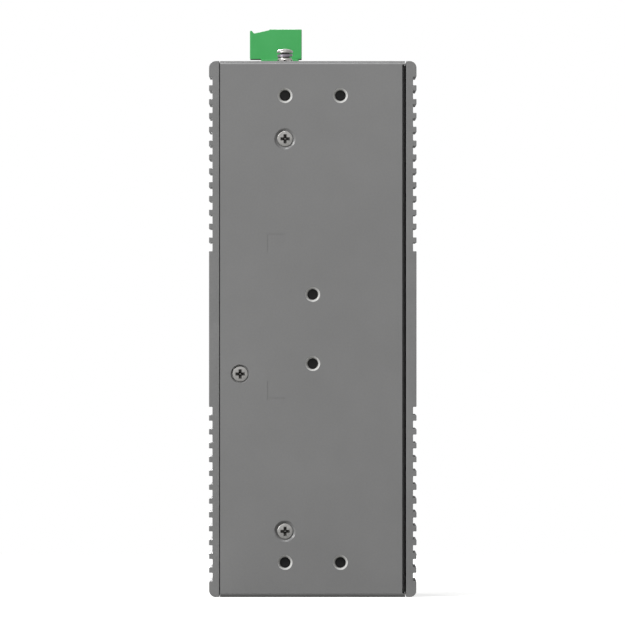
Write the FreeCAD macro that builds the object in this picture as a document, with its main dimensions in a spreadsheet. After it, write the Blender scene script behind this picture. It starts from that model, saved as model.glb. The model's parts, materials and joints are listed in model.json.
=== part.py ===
import FreeCAD, Part

import os
import re

import Sketcher

# DIN rail ethernet switch, seen from the front along +Y. The ports face -Y, the rail side faces +Y,
# +Z is up, and the origin is under the middle of the body. All sizes are in millimetres.
SIZES = {
    # body and sheet metal
    "case_width": 60.0,
    "case_height": 155.0,
    "case_depth": 109.4,
    "port_proud": 0.6,
    "sheet": 1.0,
    "bend_inner": 0.2,
    "seam_gap": 0.2,
    "notch_gap": 0.3,
    "corner_slit": 0.1,
    "panel_clear": 0.1,
    "panel_flange": 13.0,
    "window_clear": 0.3,
    # tapped holes in the back, in pairs near each end and one above the other in the middle
    "end_hole_inset": 10.0,
    "end_hole_spacing": 16.0,
    "mid_hole_spacing": 20.0,
    "mount_bore": 1.65,
    "mouth_radius": 2.1,
    "weld_nut_side": 6.0,
    "weld_nut_high": 1.6,
    # shallow corner marks pressed into the back
    "mark_x": 13.1,
    "mark_rise": 27.5,
    "mark_drop": 20.5,
    "mark_leg": 5.3,
    "mark_width": 0.6,
    "mark_depth": 0.06,
    # finned side plates
    "plate_thick": 3.0,
    "plate_corner": 2.0,
    "end_block": 4.6,
    "groove_width": 2.4,
    "groove_pitch": 4.0,
    "groove_depth": 1.0,
    "groove_count": 13,
    "cut_over": 1.0,
    # screws and the holes that they pass through
    "thread_radius": 1.5,
    "thread_fit": 0.05,
    "hole_clear": 0.1,
    "flush_head_radius": 2.5,
    "flush_length": 5.5,
    "low_head_radius": 2.3,
    "low_head_high": 0.7,
    "low_length": 4.0,
    "cross_span": 2.7,
    "cross_arm": 0.9,
    "cross_depth": 0.6,
    # dimples that sink the heads of the back screws
    "dimple_radius": 3.15,
    "dimple_depth": 0.8,
    "side_dimple_radius": 2.75,
    "seat_clear": 0.1,
    # brackets between the back, the board and the right plate
    "bracket_thick": 2.0,
    "bracket_bend": 1.0,
    "bracket_high": 12.0,
    "bracket_reach": 12.0,
    "bracket_tail": 4.5,
    "bracket_hole_inset": 8.0,
    "board_screw_x": 8.0,
    "upper_bracket_inset": 22.5,
    "lower_bracket_inset": 19.0,
    "side_screw_inset": 6.0,
    "side_tail": 3.5,
    "band_screw_rise": 13.0,
    "panel_screw_inset": 8.0,
    "tab_wide": 3.0,
    "tab_spread": 5.0,
    "tab_stub": 0.6,
    # main board
    "board_setback": 12.0,
    "board_thick": 1.6,
    "board_front_gap": 0.6,
    "board_rear_gap": 3.0,
    "board_edge_gap": 2.5,
    # modular jacks
    "shield": 0.3,
    "jack_depth": 32.0,
    "console_depth": 21.0,
    "port_pitch": 14.0,
    "row_pitch": 13.4,
    "cavity_width": 11.8,
    "cavity_high": 7.2,
    "cavity_floor": 2.0,
    "cavity_depth": 13.5,
    "latch_width": 6.2,
    "latch_high": 2.2,
    "lamp_gap": 0.5,
    "lamp_side": 0.4,
    "lamp_wide": 2.6,
    "lamp_high": 1.8,
    "lamp_depth": 18.0,
    "pipe_clear": 0.05,
    "contact_pitch": 1.02,
    "contact_count": 8,
    "contact_wide": 0.4,
    "contact_thick": 0.3,
    "contact_rise": 1.9,
    "contact_run": 8.0,
    "contact_inset": 2.5,
    "jack_columns": 4,
    "jack_top_inset": 18.0,
    "console_inset": 8.5,
    # module slots
    "bay_width": 14.2,
    "bay_high": 9.2,
    "bay_gap": 4.0,
    "cage_wall": 0.5,
    "cage_depth": 48.0,
    "slot_connector_wide": 12.4,
    "slot_connector_high": 5.6,
    "slot_connector_deep": 8.0,
    "edge_slot_wide": 9.8,
    "edge_slot_high": 1.5,
    "edge_slot_deep": 5.5,
    "edge_slot_lift": 2.2,
    "gasket_thick": 1.2,
    "gasket_deep": 2.0,
    "slot_inset": 33.0,
    "slot_lamp_side": 2.6,
    "slot_lamp_spread": 3.2,
    "slot_lamp_depth": 32.0,
    # reset button
    "reset_inset": 28.6,
    "reset_wide": 4.5,
    "reset_high": 7.0,
    "reset_deep": 4.3,
    "reset_back": 9.0,
    "button_radius": 1.5,
    "button_clear": 0.3,
    "button_proud": 0.3,
    "button_seat": 2.0,
    "button_room": 1.0,
    # status lamps
    "lamp_count": 4,
    "lamp_pitch": 2.8,
    "lamp_top_inset": 7.0,
    "status_wide": 2.2,
    "status_high": 1.4,
    "lamp_lift": 4.0,
    "light_guide_length": 8.0,
    "light_guide_bar": 2.0,
    "guide_foot": 1.0,
    "guide_slack": 0.1,
    "lamp_chip_high": 0.8,
    "lamp_chip_wide": 1.6,
    # power terminal
    "pole_pitch": 5.08,
    "pole_count": 6,
    "terminal_setback": 50.0,
    "header_width": 10.93,
    "header_high": 12.0,
    "header_proud": 0.8,
    "header_wall": 1.0,
    "header_floor": 3.0,
    "plug_clear": 0.2,
    "plug_width": 15.04,
    "plug_lip": 0.87,
    "plug_top": 9.45,
    "plug_edge_top": 9.08,
    "plug_edge_wide": 0.5,
    "plug_dip": 8.28,
    "plug_dip_at": 1.2,
    "plug_slope_top": 9.23,
    "plug_slope_at": 5.5,
    "plug_step_at": 5.7,
    "pin_lift": 6.0,
    "pin_side": 1.0,
    "pin_tip_down": 1.5,
    "pin_drop": 1.4,
    "pin_stub": 1.2,
    "wire_long": 3.6,
    "wire_wide": 3.8,
    "wire_floor": 0.8,
    "clamp_wall": 0.6,
    "clamp_clear": 0.1,
    "clamp_high": 4.0,
    "clamp_screw_head": 1.8,
    "clamp_screw_sunk": 0.8,
    "leaf_thick": 0.4,
    "leaf_wide": 2.0,
    "leaf_gap": 0.1,
    "leaf_slack": 0.05,
    # ground screw on the top
    "ground_x": 8.07,
    "ground_setback": 19.0,
    "ground_top": 3.66,
    "ground_head_high": 1.2,
    "ground_head_radius": 2.33,
    "ground_dome": 0.35,
    "ground_shank": 4.0,
    "cup_radius": 2.5,
    "cup_top_radius": 1.95,
    "cup_high": 1.05,
    "spring_radius": 2.2,
    "spring_high": 0.9,
    "spring_slot": 0.5,
    "nut_radius": 3.2,
    "nut_high": 2.4,
    # circuits on the plate side of the board
    "switch_chip_side": 25.0,
    "switch_chip_y": -5.0,
    "processor_side": 15.0,
    "processor_setback": 29.0,
    "chip_high": 2.0,
    "pad_thick": 1.0,
    "large_block_side": 34.0,
    "small_block_side": 20.0,
    "memory_wide": 10.0,
    "memory_long": 12.0,
    "memory_high": 1.2,
    "memory_spread": 22.0,
    "driver_side": 11.0,
    "driver_high": 1.4,
    "driver_inset": 24.4,
    "driver_spread": 17.0,
    "crystal_long": 5.0,
    "crystal_wide": 3.2,
    "crystal_high": 1.2,
    "crystal_setback": 43.0,
    "crystal_spread": 24.0,
    # power parts on the port side of the board
    "can_radius": 5.0,
    "can_high": 16.0,
    "can_pitch": 12.0,
    "can_count": 3,
    "can_setback": 25.0,
    "can_rise": 2.0,
    "coil_side": 12.0,
    "coil_high": 6.5,
    "coil_pitch": 16.0,
    "coil_count": 3,
    "coil_setback": 45.0,
    "coil_drop": 20.0,
    "core_long": 22.0,
    "core_wide": 18.0,
    "core_high": 13.0,
    "core_setback": 43.0,
    "core_drop": 34.0,
    "relay_long": 18.0,
    "relay_wide": 10.0,
    "relay_high": 11.0,
    "relay_setback": 23.5,
    "relay_drop": 13.0,
    "fuse_long": 7.4,
    "fuse_wide": 5.1,
    "fuse_high": 2.6,
    "fuse_setback": 57.0,
    "fuse_pitch": 8.0,
    "fuse_drop": 19.0,
    "choke_outer": 8.2,
    "choke_inner": 3.8,
    "choke_high": 4.4,
    "choke_setback": 23.0,
    "choke_drop": 32.0,
}

# Places and sizes that follow from the driving dimensions
DERIVED = {
    "top": "case_height",
    "mid": "case_height/2",
    "back": "(case_depth + port_proud)/2",
    "front": "back - case_depth",
    "port_front": "front - port_proud",
    "plate_outer": "case_width/2",
    "plate_inner": "plate_outer - plate_thick",
    "tub_left": "-plate_inner",
    "tub_right": "plate_inner - seam_gap",
    "bend_outer": "sheet + bend_inner",
    "back_inner": "back - sheet",
    "panel_left": "tub_left + sheet + panel_clear",
    "panel_right": "plate_inner - panel_clear",
    "panel_low": "sheet + panel_clear",
    "panel_high": "top - sheet - panel_clear",
    "flange_end": "front + panel_flange",
    "panel_screw_y": "front + panel_screw_inset",
    "shank": "thread_radius - thread_fit",
    "clear_radius": "thread_radius + hole_clear",
    "low_seat": "low_head_radius + seat_clear",
    "bracket_back": "back_inner - dimple_depth",
    "bracket_hole_y": "back_inner - bracket_hole_inset",
    "upper_screw_z": "top - upper_bracket_inset",
    "side_screw_x": "plate_inner - side_screw_inset",
    "band_low": "mid - band_screw_rise",
    "board_face": "plate_inner - board_setback",
    "board_back": "board_face + board_thick",
    "board_front": "front + sheet + board_front_gap",
    "board_rear": "back_inner - board_rear_gap",
    "board_low": "sheet + board_edge_gap",
    "board_high": "top - sheet - board_edge_gap",
    "jack_z": "top - jack_top_inset - jack_columns*port_pitch/2",
    "console_z": "console_inset + port_pitch/2",
    "cage_wide": "2*bay_width + 3*cage_wall",
    "cage_high": "2*bay_high + 2*cage_wall + bay_gap",
    "cage_low": "slot_inset",
    "cage_edge": "board_face - cage_high",
    "cage_back": "port_front + cage_depth",
    "button_x": "board_face - reset_high/2",
    "reset_front": "front + reset_back",
    "lamp_x": "board_face - lamp_lift",
    "lamp_top": "top - lamp_top_inset",
    "terminal_long": "pole_pitch*pole_count",
    "terminal_y": "back - terminal_setback",
    "ground_y": "back - ground_setback",
    "fuse_y": "back - fuse_setback",
    "terminal_front": "terminal_y - terminal_long/2",
    "terminal_back": "terminal_y + terminal_long/2",
    "header_left": "board_face - header_width",
    "header_top": "top + header_proud",
    "header_low": "header_top - header_high",
    "header_front": "terminal_front - header_wall - plug_clear",
    "header_back": "terminal_back + header_wall + plug_clear",
    "well_left": "header_left + header_wall",
    "well_right": "board_face - header_wall",
    "well_low": "header_low + header_floor",
    "pin_x": "board_face - pin_lift",
    "pin_low": "header_low - pin_drop - pin_side",
    "pin_tip": "header_top - pin_tip_down",
    "first_pole": "terminal_front + pole_pitch/2",
    "plug_left": "header_left - plug_lip",
    "plug_right": "plug_left + plug_width",
    "mate_left": "well_left + plug_clear",
    "mate_right": "well_right - plug_clear",
    "mate_low": "well_low + plug_clear",
    "wire_low": "header_top + wire_floor",
    "clamp_z": "wire_low + clamp_high/2",
    "clamp_half": "wire_long/2 - clamp_clear",
    "clamp_side": "wire_wide/2 - clamp_clear",
    "leaf_inner": "pin_side/2 + leaf_gap",
    "leaf_outer": "pin_side/2 + leaf_gap + leaf_thick",
    "block_inner": "board_back + chip_high + pad_thick",
    "processor_y": "back - processor_setback",
    "crystal_y": "back - crystal_setback",
    "can_y": "back - can_setback",
    "coil_y": "back - coil_setback",
    "core_y": "back - core_setback",
    "relay_y": "back - relay_setback",
    "choke_y": "back - choke_setback",
    "driver_y": "front + driver_inset",
}

doc = FreeCAD.newDocument("EthernetSwitch")
sizes = doc.addObject("Spreadsheet::Sheet", "Sizes")
for row, (word, amount) in enumerate(SIZES.items(), start=1):
    sizes.set(f"A{row}", word)
    sizes.set(f"B{row}", str(amount))
    sizes.setAlias(f"B{row}", word)
doc.recompute()

NODES = {}
CUTS = []
TURNS = {
    "+X": FreeCAD.Vector(1, 0, 0),
    "-X": FreeCAD.Vector(-1, 0, 0),
    "+Y": FreeCAD.Vector(0, 1, 0),
    "-Y": FreeCAD.Vector(0, -1, 0),
    "+Z": FreeCAD.Vector(0, 0, 1),
    "-Z": FreeCAD.Vector(0, 0, -1),
}
UP = TURNS["+Z"]


def formula(text):
    """Writes the words of a formula as cells of the sheet."""

    def word(found):
        name = found.group()
        if name in SIZES:
            return "Sizes." + name
        if name in DERIVED:
            return "(" + formula(DERIVED[name]) + ")"
        raise NameError(name)

    return re.sub(r"[A-Za-z]\w*", word, text)


def value(text):
    return float(sizes.evalExpression(formula(text)))


def bind(thing, path, text):
    thing.setExpression(path, formula(text))


def new_body(label):
    body = doc.addObject("PartDesign::Body", label)
    body.Label = label
    NODES[label] = body
    return body


def origin_part(body, role):
    return [part for part in body.Origin.OriginFeatures if part.Role == role][0]


def sketch_on(body, name, plane, level, shift="0"):
    """A sketch at a level along the plane's own world axis; shift moves its origin along X."""
    sketch = body.newObject("Sketcher::SketchObject", name)
    sketch.AttachmentSupport = [(origin_part(body, plane), "")]
    sketch.MapMode = "FlatFace"
    sign = "-" if plane == "XZ_Plane" else ""
    bind(sketch, "AttachmentOffset.Base.z", f"{sign}({level})")
    bind(sketch, "AttachmentOffset.Base.x", shift)
    return sketch


def pin_point(sketch, edge, end, place):
    for kind, text in zip(("DistanceX", "DistanceY"), place):
        rule = Sketcher.Constraint(kind, -1, 1, edge, end, value(text))
        number = sketch.addConstraint(rule)
        bind(sketch, f"Constraints[{number}]", text)


def arc_between(start, end, radius, turn):
    """An arc of under half a turn; turn is 1 for anticlockwise and -1 for clockwise."""
    chord = end - start
    rise = max(radius**2 - chord.Length**2 / 4, 0.0) ** 0.5
    side = FreeCAD.Vector(-chord.y, chord.x, 0).normalize()
    centre = start + chord / 2 + side * rise * turn
    circle = Part.Circle(centre, UP, radius)
    ends = (start, end) if turn > 0 else (end, start)
    return Part.ArcOfCircle(circle, *(circle.parameter(point) for point in ends))


def loop(sketch, corners):
    """A closed outline of (u, v) corners; (u, v, radius, turn) starts an arc to the next corner."""
    points = [FreeCAD.Vector(value(corner[0]), value(corner[1]), 0) for corner in corners]
    tips = []
    for index, corner in enumerate(corners):
        start, end = points[index], points[(index + 1) % len(points)]
        if len(corner) == 2:
            edge = sketch.addGeometry(Part.LineSegment(start, end), False)
            tips.append((edge, 1, 2))
            continue
        arc = arc_between(start, end, value(corner[2]), corner[3])
        edge = sketch.addGeometry(arc, False)
        tips.append((edge, 1, 2) if corner[3] > 0 else (edge, 2, 1))
        number = sketch.addConstraint(Sketcher.Constraint("Radius", edge, value(corner[2])))
        bind(sketch, f"Constraints[{number}]", corner[2])
    for index, (edge, first, last) in enumerate(tips):
        follower = tips[(index + 1) % len(tips)]
        sketch.addConstraint(Sketcher.Constraint("Coincident", edge, last, follower[0], follower[1]))
        pin_point(sketch, edge, first, corners[index][:2])


def rectangle(sketch, low, high):
    loop(sketch, [low, (high[0], low[1]), high, (low[0], high[1])])


def circle(sketch, centre, radius):
    place = FreeCAD.Vector(value(centre[0]), value(centre[1]), 0)
    edge = sketch.addGeometry(Part.Circle(place, UP, value(radius)), False)
    number = sketch.addConstraint(Sketcher.Constraint("Radius", edge, value(radius)))
    bind(sketch, f"Constraints[{number}]", radius)
    pin_point(sketch, edge, 3, centre)


def pad(body, sketch, length, reverse=False):
    feature = body.newObject("PartDesign::Pad", sketch.Name + "_pad")
    feature.Profile = (sketch, [""])
    bind(feature, "Length", length)
    feature.Reversed = reverse
    return feature


def pocket(body, sketch, length, reverse=False):
    """Cuts against the sketch's normal, or along it when reversed."""
    feature = body.newObject("PartDesign::Pocket", sketch.Name + "_pocket")
    feature.Profile = (sketch, [""])
    bind(feature, "Length", length)
    feature.Reversed = reverse
    CUTS.append(feature)
    return feature


def revolve(body, sketch, kind="PartDesign::Revolution"):
    feature = body.newObject(kind, sketch.Name + "_turned")
    feature.Profile = (sketch, [""])
    feature.ReferenceAxis = (sketch, ["V_Axis"])
    feature.Angle = 360.0
    return feature


def repeat(body, feature, axis, pitch, count, reverse=False):
    """Copies a feature along one of the body's axes."""
    pattern = body.newObject("PartDesign::LinearPattern", feature.Name + "_row")
    pattern.Originals = [feature]
    pattern.Direction = (origin_part(body, axis), [""])
    pattern.Reversed = reverse
    bind(pattern, "Length", f"({pitch})*(({count}) - 1)")
    bind(pattern, "Occurrences", count)
    body.Tip = pattern
    return pattern


def countersink(body, sketch, depth, bore, mouth, reverse=False):
    """Round holes of one bore with a 90 degree sink at the sketch."""
    doc.recompute()
    feature = body.newObject("PartDesign::Hole", sketch.Name + "_hole")
    feature.Profile = (sketch, [""])
    feature.DepthType = "Dimension"
    feature.DrillPoint = "Flat"
    bind(feature, "Depth", depth)
    bind(feature, "Diameter", f"2*({bore})")
    feature.HoleCutType = "Countersink"
    feature.HoleCutCustomValues = True
    bind(feature, "HoleCutDiameter", f"2*({mouth})")
    feature.HoleCutCountersinkAngle = 90.0
    feature.Reversed = reverse
    CUTS.append(feature)
    return feature


def block(name, low, high):
    box = doc.addObject("Part::Box", name)
    for path, side, start, end in zip(("Length", "Width", "Height"), "xyz", low, high):
        bind(box, path, f"({end}) - ({start})")
        bind(box, f"Placement.Base.{side}", start)
    return box


def prism(name, start, direction, sides, radius, length):
    shape = doc.addObject("Part::Prism", name)
    shape.Polygon = sides
    shape.Placement.Rotation = FreeCAD.Rotation(UP, TURNS[direction])
    for side, text in zip("xyz", start):
        bind(shape, f"Placement.Base.{side}", text)
    bind(shape, "Circumradius", radius)
    bind(shape, "Height", length)
    return shape


def rod(name, start, direction, radius, length):
    shape = doc.addObject("Part::Cylinder", name)
    shape.Placement.Rotation = FreeCAD.Rotation(UP, TURNS[direction])
    for side, text in zip("xyz", start):
        bind(shape, f"Placement.Base.{side}", text)
    bind(shape, "Radius", radius)
    bind(shape, "Height", length)
    return shape


def cut_out(name, base, tools):
    gathered = doc.addObject("Part::Compound", name + "_tools")
    gathered.Links = tools
    shape = doc.addObject("Part::Cut", name)
    shape.Base = base
    shape.Tool = gathered
    return shape


def node(label, shapes):
    """One named piece, or one named group of like pieces."""
    group = doc.addObject("Part::Compound", label)
    group.Label = label
    group.Links = shapes
    NODES[label] = group
    return group


def placed(label, master, places):
    """Copies of one piece, each at (x, y, z) with its own +Z turned to the given direction."""
    copies = []
    for number, (x, y, z, direction) in enumerate(places, start=1):
        copy = doc.addObject("App::Link", f"{label}_{number}")
        copy.LinkedObject = master
        copy.Placement.Rotation = FreeCAD.Rotation(UP, TURNS[direction])
        for side, text in zip("xyz", (x, y, z)):
            bind(copy, f"Placement.Base.{side}", text)
        copies.append(copy)
    return node(label, copies)


def folded_leg(sketch, wall, wall_in, leg, leg_in, leg_end, swap=False):
    """The bend and leg of a folded sheet: wall and leg are its outer faces, with their inward signs."""
    corners = [
        (wall, f"{leg} {leg_in} bend_outer", "bend_outer"),
        (f"{wall} {wall_in} bend_outer", leg),
        (leg_end, leg),
        (leg_end, f"{leg} {leg_in} sheet"),
        (f"{wall} {wall_in} bend_outer", f"{leg} {leg_in} sheet", "bend_inner"),
        (f"{wall} {wall_in} sheet", f"{leg} {leg_in} bend_outer"),
    ]
    turn = 1 if wall_in == leg_in else -1
    if swap:
        turn = -turn
        corners = [(corner[1], corner[0], *corner[2:]) for corner in corners]
    corners[0] = (*corners[0], turn)
    corners[4] = (*corners[4], -turn)
    loop(sketch, corners)


def back_holes():
    ends = ("end_hole_inset", "top - end_hole_inset")
    pairs = [(f"{side}end_hole_spacing/2", z) for side in ("-", "") for z in ends]
    middle = [("0", f"mid {sign} mid_hole_spacing/2") for sign in "+-"]
    return pairs + middle


def dimple(body, name, x, z, mouth):
    """Presses the back in round a screw so that its low head sits flush."""
    opening = sketch_on(body, name + "_opening", "XZ_Plane", "back")
    circle(opening, (x, z), mouth)
    pocket(body, opening, "sheet", reverse=True)
    section = sketch_on(body, name + "_section", "XY_Plane", z, shift=x)
    loop(
        section,
        [
            ("clear_radius", "back - dimple_depth - sheet"),
            (mouth, "back_inner"),
            (mouth, "back"),
            ("low_seat", "back - dimple_depth"),
            ("clear_radius", "back - dimple_depth"),
        ],
    )
    revolve(body, section)


def corner_mark(sketch, z, down):
    """A thin L with its corner at (mark_x, z) and legs towards -X and up or down."""
    outer = f"{z} {down} mark_leg"
    loop(
        sketch,
        [
            ("mark_x", z),
            ("mark_x", outer),
            ("mark_x - mark_width", outer),
            ("mark_x - mark_width", f"{z} {down} mark_width"),
            ("mark_x - mark_leg", f"{z} {down} mark_width"),
            ("mark_x - mark_leg", z),
        ],
    )


def make_chassis():
    """One folded sheet: back, top, bottom and left wall."""
    body = new_body("chassis")
    back = sketch_on(body, "tub_back", "XZ_Plane", "back")
    rectangle(back, ("tub_left + bend_outer", "bend_outer"), ("tub_right", "top - bend_outer"))
    pad(body, back, "sheet")
    legs = sketch_on(body, "tub_top_and_bottom", "YZ_Plane", "tub_left + notch_gap")
    folded_leg(legs, "back", "-", "top", "-", "front")
    folded_leg(legs, "back", "-", "0", "+", "front")
    pad(body, legs, "tub_right - tub_left - notch_gap")
    wall = sketch_on(body, "tub_left_wall", "XY_Plane", "bend_outer + corner_slit")
    folded_leg(wall, "back", "-", "tub_left", "+", "front", swap=True)
    pad(body, wall, "top - 2*(bend_outer + corner_slit)")

    nuts = sketch_on(body, "weld_nuts", "XZ_Plane", "back_inner")
    bores = sketch_on(body, "tapped_bores", "XZ_Plane", "back")
    half = "weld_nut_side/2"
    for x, z in back_holes():
        rectangle(nuts, (f"{x} - {half}", f"{z} - {half}"), (f"{x} + {half}", f"{z} + {half}"))
        circle(bores, (x, z), "mount_bore")
    pad(body, nuts, "weld_nut_high")
    countersink(body, bores, "sheet + weld_nut_high", "mount_bore", "mouth_radius", reverse=True)

    for name, z in (("upper_dimple", "upper_screw_z"), ("lower_dimple", "lower_bracket_inset")):
        dimple(body, name, "board_screw_x", z, "dimple_radius")
    dimple(body, "side_dimple", "side_screw_x", "band_low", "side_dimple_radius")

    marks = sketch_on(body, "corner_marks", "XZ_Plane", "back")
    corner_mark(marks, "mid + mark_rise", "-")
    corner_mark(marks, "mid - mark_drop", "+")
    pocket(body, marks, "mark_depth", reverse=True)

    window = sketch_on(body, "terminal_window", "XY_Plane", "top")
    rectangle(
        window,
        ("header_left - window_clear", "header_front - window_clear"),
        ("board_face + window_clear", "header_back + window_clear"),
    )
    circle(window, ("ground_x", "ground_y"), "clear_radius")
    pocket(body, window, "sheet")


def right_plate_holes():
    """Screws into the side bracket and the front panel's flange."""
    return [("bracket_hole_y", "band_low"), ("panel_screw_y", "mid")]


def make_front_panel():
    """A shallow folded tray between the top, the bottom, the left wall and the right plate."""
    body = new_body("front_panel")
    face = sketch_on(body, "panel_face", "XZ_Plane", "front")
    rectangle(
        face,
        ("panel_left + bend_outer", "panel_low + bend_outer"),
        ("panel_right - bend_outer", "panel_high - bend_outer"),
    )
    pad(body, face, "sheet", reverse=True)
    level = sketch_on(body, "panel_top_and_bottom", "YZ_Plane", "panel_left + bend_outer")
    folded_leg(level, "front", "+", "panel_high", "-", "flange_end")
    folded_leg(level, "front", "+", "panel_low", "+", "flange_end")
    pad(body, level, "panel_right - panel_left - 2*bend_outer")
    upright = sketch_on(body, "panel_sides", "XY_Plane", "panel_low + bend_outer")
    folded_leg(upright, "front", "+", "panel_left", "+", "flange_end", swap=True)
    folded_leg(upright, "front", "+", "panel_right", "-", "flange_end", swap=True)
    pad(body, upright, "panel_high - panel_low - 2*bend_outer")

    windows = sketch_on(body, "panel_windows", "XZ_Plane", "front")
    for z, columns, rows in (("jack_z", "jack_columns", "2"), ("console_z", "1", "1")):
        half = f"({columns}*port_pitch/2 + shield + window_clear)"
        edge = f"board_face - {rows}*row_pitch - 2*shield - window_clear"
        rectangle(windows, (edge, f"{z} - {half}"), ("board_face + window_clear", f"{z} + {half}"))
    rectangle(
        windows,
        ("cage_edge - window_clear", "cage_low - window_clear"),
        ("board_face + window_clear", "cage_low + cage_wide + window_clear"),
    )
    circle(windows, ("button_x", "reset_inset"), "button_radius + button_clear")
    pocket(body, windows, "sheet")
    lamp = sketch_on(body, "panel_lamp_window", "XZ_Plane", "front")
    status_window(lamp, "hole_clear")
    repeat(body, pocket(body, lamp, "sheet"), "Z_Axis", "lamp_pitch", "lamp_count", reverse=True)
    tap = sketch_on(body, "flange_tap", "YZ_Plane", "panel_right")
    circle(tap, ("panel_screw_y", "mid"), "thread_radius")
    pocket(body, tap, "sheet")
    return body


def status_window(sketch, clear):
    """The highest of the small rectangles that show the status lamps."""
    across = f"(status_wide/2 + {clear})"
    up = f"(status_high/2 + {clear})"
    low = (f"lamp_x - {across}", f"lamp_top - {up}")
    rectangle(sketch, low, (f"lamp_x + {across}", f"lamp_top + {up}"))


def make_finned_side(label, sign):
    """An extruded plate with a flat band between two sets of grooves; sign is its side of the case."""
    body = new_body(label)
    turn = 1 if sign == "" else -1
    outer, inner = f"{sign}plate_outer", f"{sign}plate_inner"
    shoulder = f"{sign}(plate_outer - plate_corner)"
    profile = sketch_on(body, label + "_profile", "XZ_Plane", "back")
    loop(
        profile,
        [
            (inner, "0"),
            (shoulder, "0", "plate_corner", turn),
            (outer, "plate_corner"),
            (outer, "top - plate_corner", "plate_corner", turn),
            (shoulder, "top"),
            (inner, "top"),
        ],
    )
    pad(body, profile, "case_depth")
    highest = "top - end_block - groove_width"
    for name, low, down in (("upper", highest, True), ("lower", "end_block", False)):
        groove = sketch_on(body, f"{label}_{name}_groove", "XZ_Plane", "back")
        rectangle(
            groove,
            (f"{sign}(plate_outer - groove_depth)", low),
            (f"{sign}(plate_outer + cut_over)", f"{low} + groove_width"),
        )
        cut = pocket(body, groove, "case_depth", reverse=True)
        repeat(body, cut, "Z_Axis", "groove_pitch", "groove_count", reverse=down)
    return body


def sink_right_plate(body):
    sinks = sketch_on(body, "right_plate_screws", "YZ_Plane", "plate_outer")
    for place in right_plate_holes():
        circle(sinks, place, "clear_radius")
    countersink(body, sinks, "plate_thick", "clear_radius", "flush_head_radius + seat_clear")


def back_tap(body, label, x, z):
    """A threaded hole for the screw that comes through the back."""
    tap = sketch_on(body, label + "_tap", "XZ_Plane", "bracket_back")
    circle(tap, (x, z), "thread_radius")
    pocket(body, tap, "bracket_thick", reverse=True)


def tab_places(z):
    """Low and high corners, in (y, z), of the two tabs of the bracket at height z."""
    low = f"{z} - bracket_high/2"
    return [
        (
            (f"bracket_hole_y {sign} tab_spread/2 - tab_wide/2", low),
            (f"bracket_hole_y {sign} tab_spread/2 + tab_wide/2", f"{low} + bracket_thick"),
        )
        for sign in "-+"
    ]


def make_board_bracket(label, z):
    """A bent angle under the back whose shelf stands on the board with two soldered tabs."""
    body = new_body(label)
    start = "board_screw_x - bracket_tail"
    profile = sketch_on(body, label + "_profile", "YZ_Plane", start)
    low = f"{z} - bracket_high/2"
    front_face = "bracket_back - bracket_thick"
    end = "back_inner - bracket_reach"
    loop(
        profile,
        [
            (end, low),
            ("bracket_back - bracket_bend", low),
            ("bracket_back", f"{low} + bracket_bend"),
            ("bracket_back", f"{low} + bracket_high"),
            (front_face, f"{low} + bracket_high"),
            (front_face, f"{low} + bracket_thick"),
            (end, f"{low} + bracket_thick"),
        ],
    )
    pad(body, profile, f"board_face - ({start})")
    back_tap(body, label, "board_screw_x", z)
    tabs = sketch_on(body, label + "_tabs", "YZ_Plane", "board_face")
    for corners in tab_places(z):
        rectangle(tabs, *corners)
    pad(body, tabs, "board_thick + tab_stub")
    return body


def make_side_bracket():
    """A bent angle between the back and the right plate."""
    body = new_body("side_bracket")
    profile = sketch_on(body, "side_bracket_profile", "XY_Plane", "band_low - bracket_high/2")
    tail = "side_screw_x - side_tail"
    end = "back_inner - bracket_reach"
    loop(
        profile,
        [
            (tail, "bracket_back - bracket_thick"),
            ("plate_inner - bracket_thick", "bracket_back - bracket_thick"),
            ("plate_inner - bracket_thick", end),
            ("plate_inner", end),
            ("plate_inner", "bracket_back - bracket_bend"),
            ("plate_inner - bracket_bend", "bracket_back"),
            (tail, "bracket_back"),
        ],
    )
    pad(body, profile, "bracket_high")
    back_tap(body, "side_bracket", "side_screw_x", "band_low")
    side = sketch_on(body, "side_bracket_plate_tap", "YZ_Plane", "plate_inner")
    circle(side, ("bracket_hole_y", "band_low"), "thread_radius")
    pocket(body, side, "bracket_thick")
    return body


def make_brackets():
    make_board_bracket("board_bracket_upper", "upper_screw_z")
    make_board_bracket("board_bracket_lower", "lower_bracket_inset")
    make_side_bracket()


def screw_section(name, corners):
    """A screw on the Z axis with its head's top at the origin."""
    body = doc.addObject("PartDesign::Body", name)
    section = sketch_on(body, name + "_section", "XZ_Plane", "0")
    loop(section, corners[::-1])
    revolve(body, section)
    return body


def cross_recess(body, name):
    cross = sketch_on(body, name + "_cross", "XY_Plane", "0")
    far, near = "cross_span/2", "cross_arm/2"
    corners = []
    for a, b in (("", ""), ("-", ""), ("-", "-"), ("", "-")):
        arm = [(f"{a}{far}", f"{b}{near}"), (f"{a}{near}", f"{b}{near}"), (f"{a}{near}", f"{b}{far}")]
        corners += arm if a == b else arm[::-1]
    loop(cross, corners)
    pocket(body, cross, "cross_depth")


def make_screws():
    low = screw_section(
        "low_screw",
        [
            ("0", "0"),
            ("low_head_radius", "0"),
            ("low_head_radius", "-low_head_high"),
            ("shank", "-low_head_high"),
            ("shank", "-low_length"),
            ("0", "-low_length"),
        ],
    )
    cross_recess(low, "low_screw")
    flush = screw_section(
        "flush_screw",
        [
            ("0", "0"),
            ("flush_head_radius", "0"),
            ("shank", "-(flush_head_radius - shank)"),
            ("shank", "-flush_length"),
            ("0", "-flush_length"),
        ],
    )
    head = "back - dimple_depth + low_head_high"
    heights = ("upper_screw_z", "lower_bracket_inset")
    placed("board_bracket_screws", low, [("board_screw_x", head, z, "+Y") for z in heights])
    placed("side_bracket_screw", low, [("side_screw_x", head, "band_low", "+Y")])
    placed("right_side_screws", flush, [("plate_outer", y, z, "+X") for y, z in right_plate_holes()])


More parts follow.
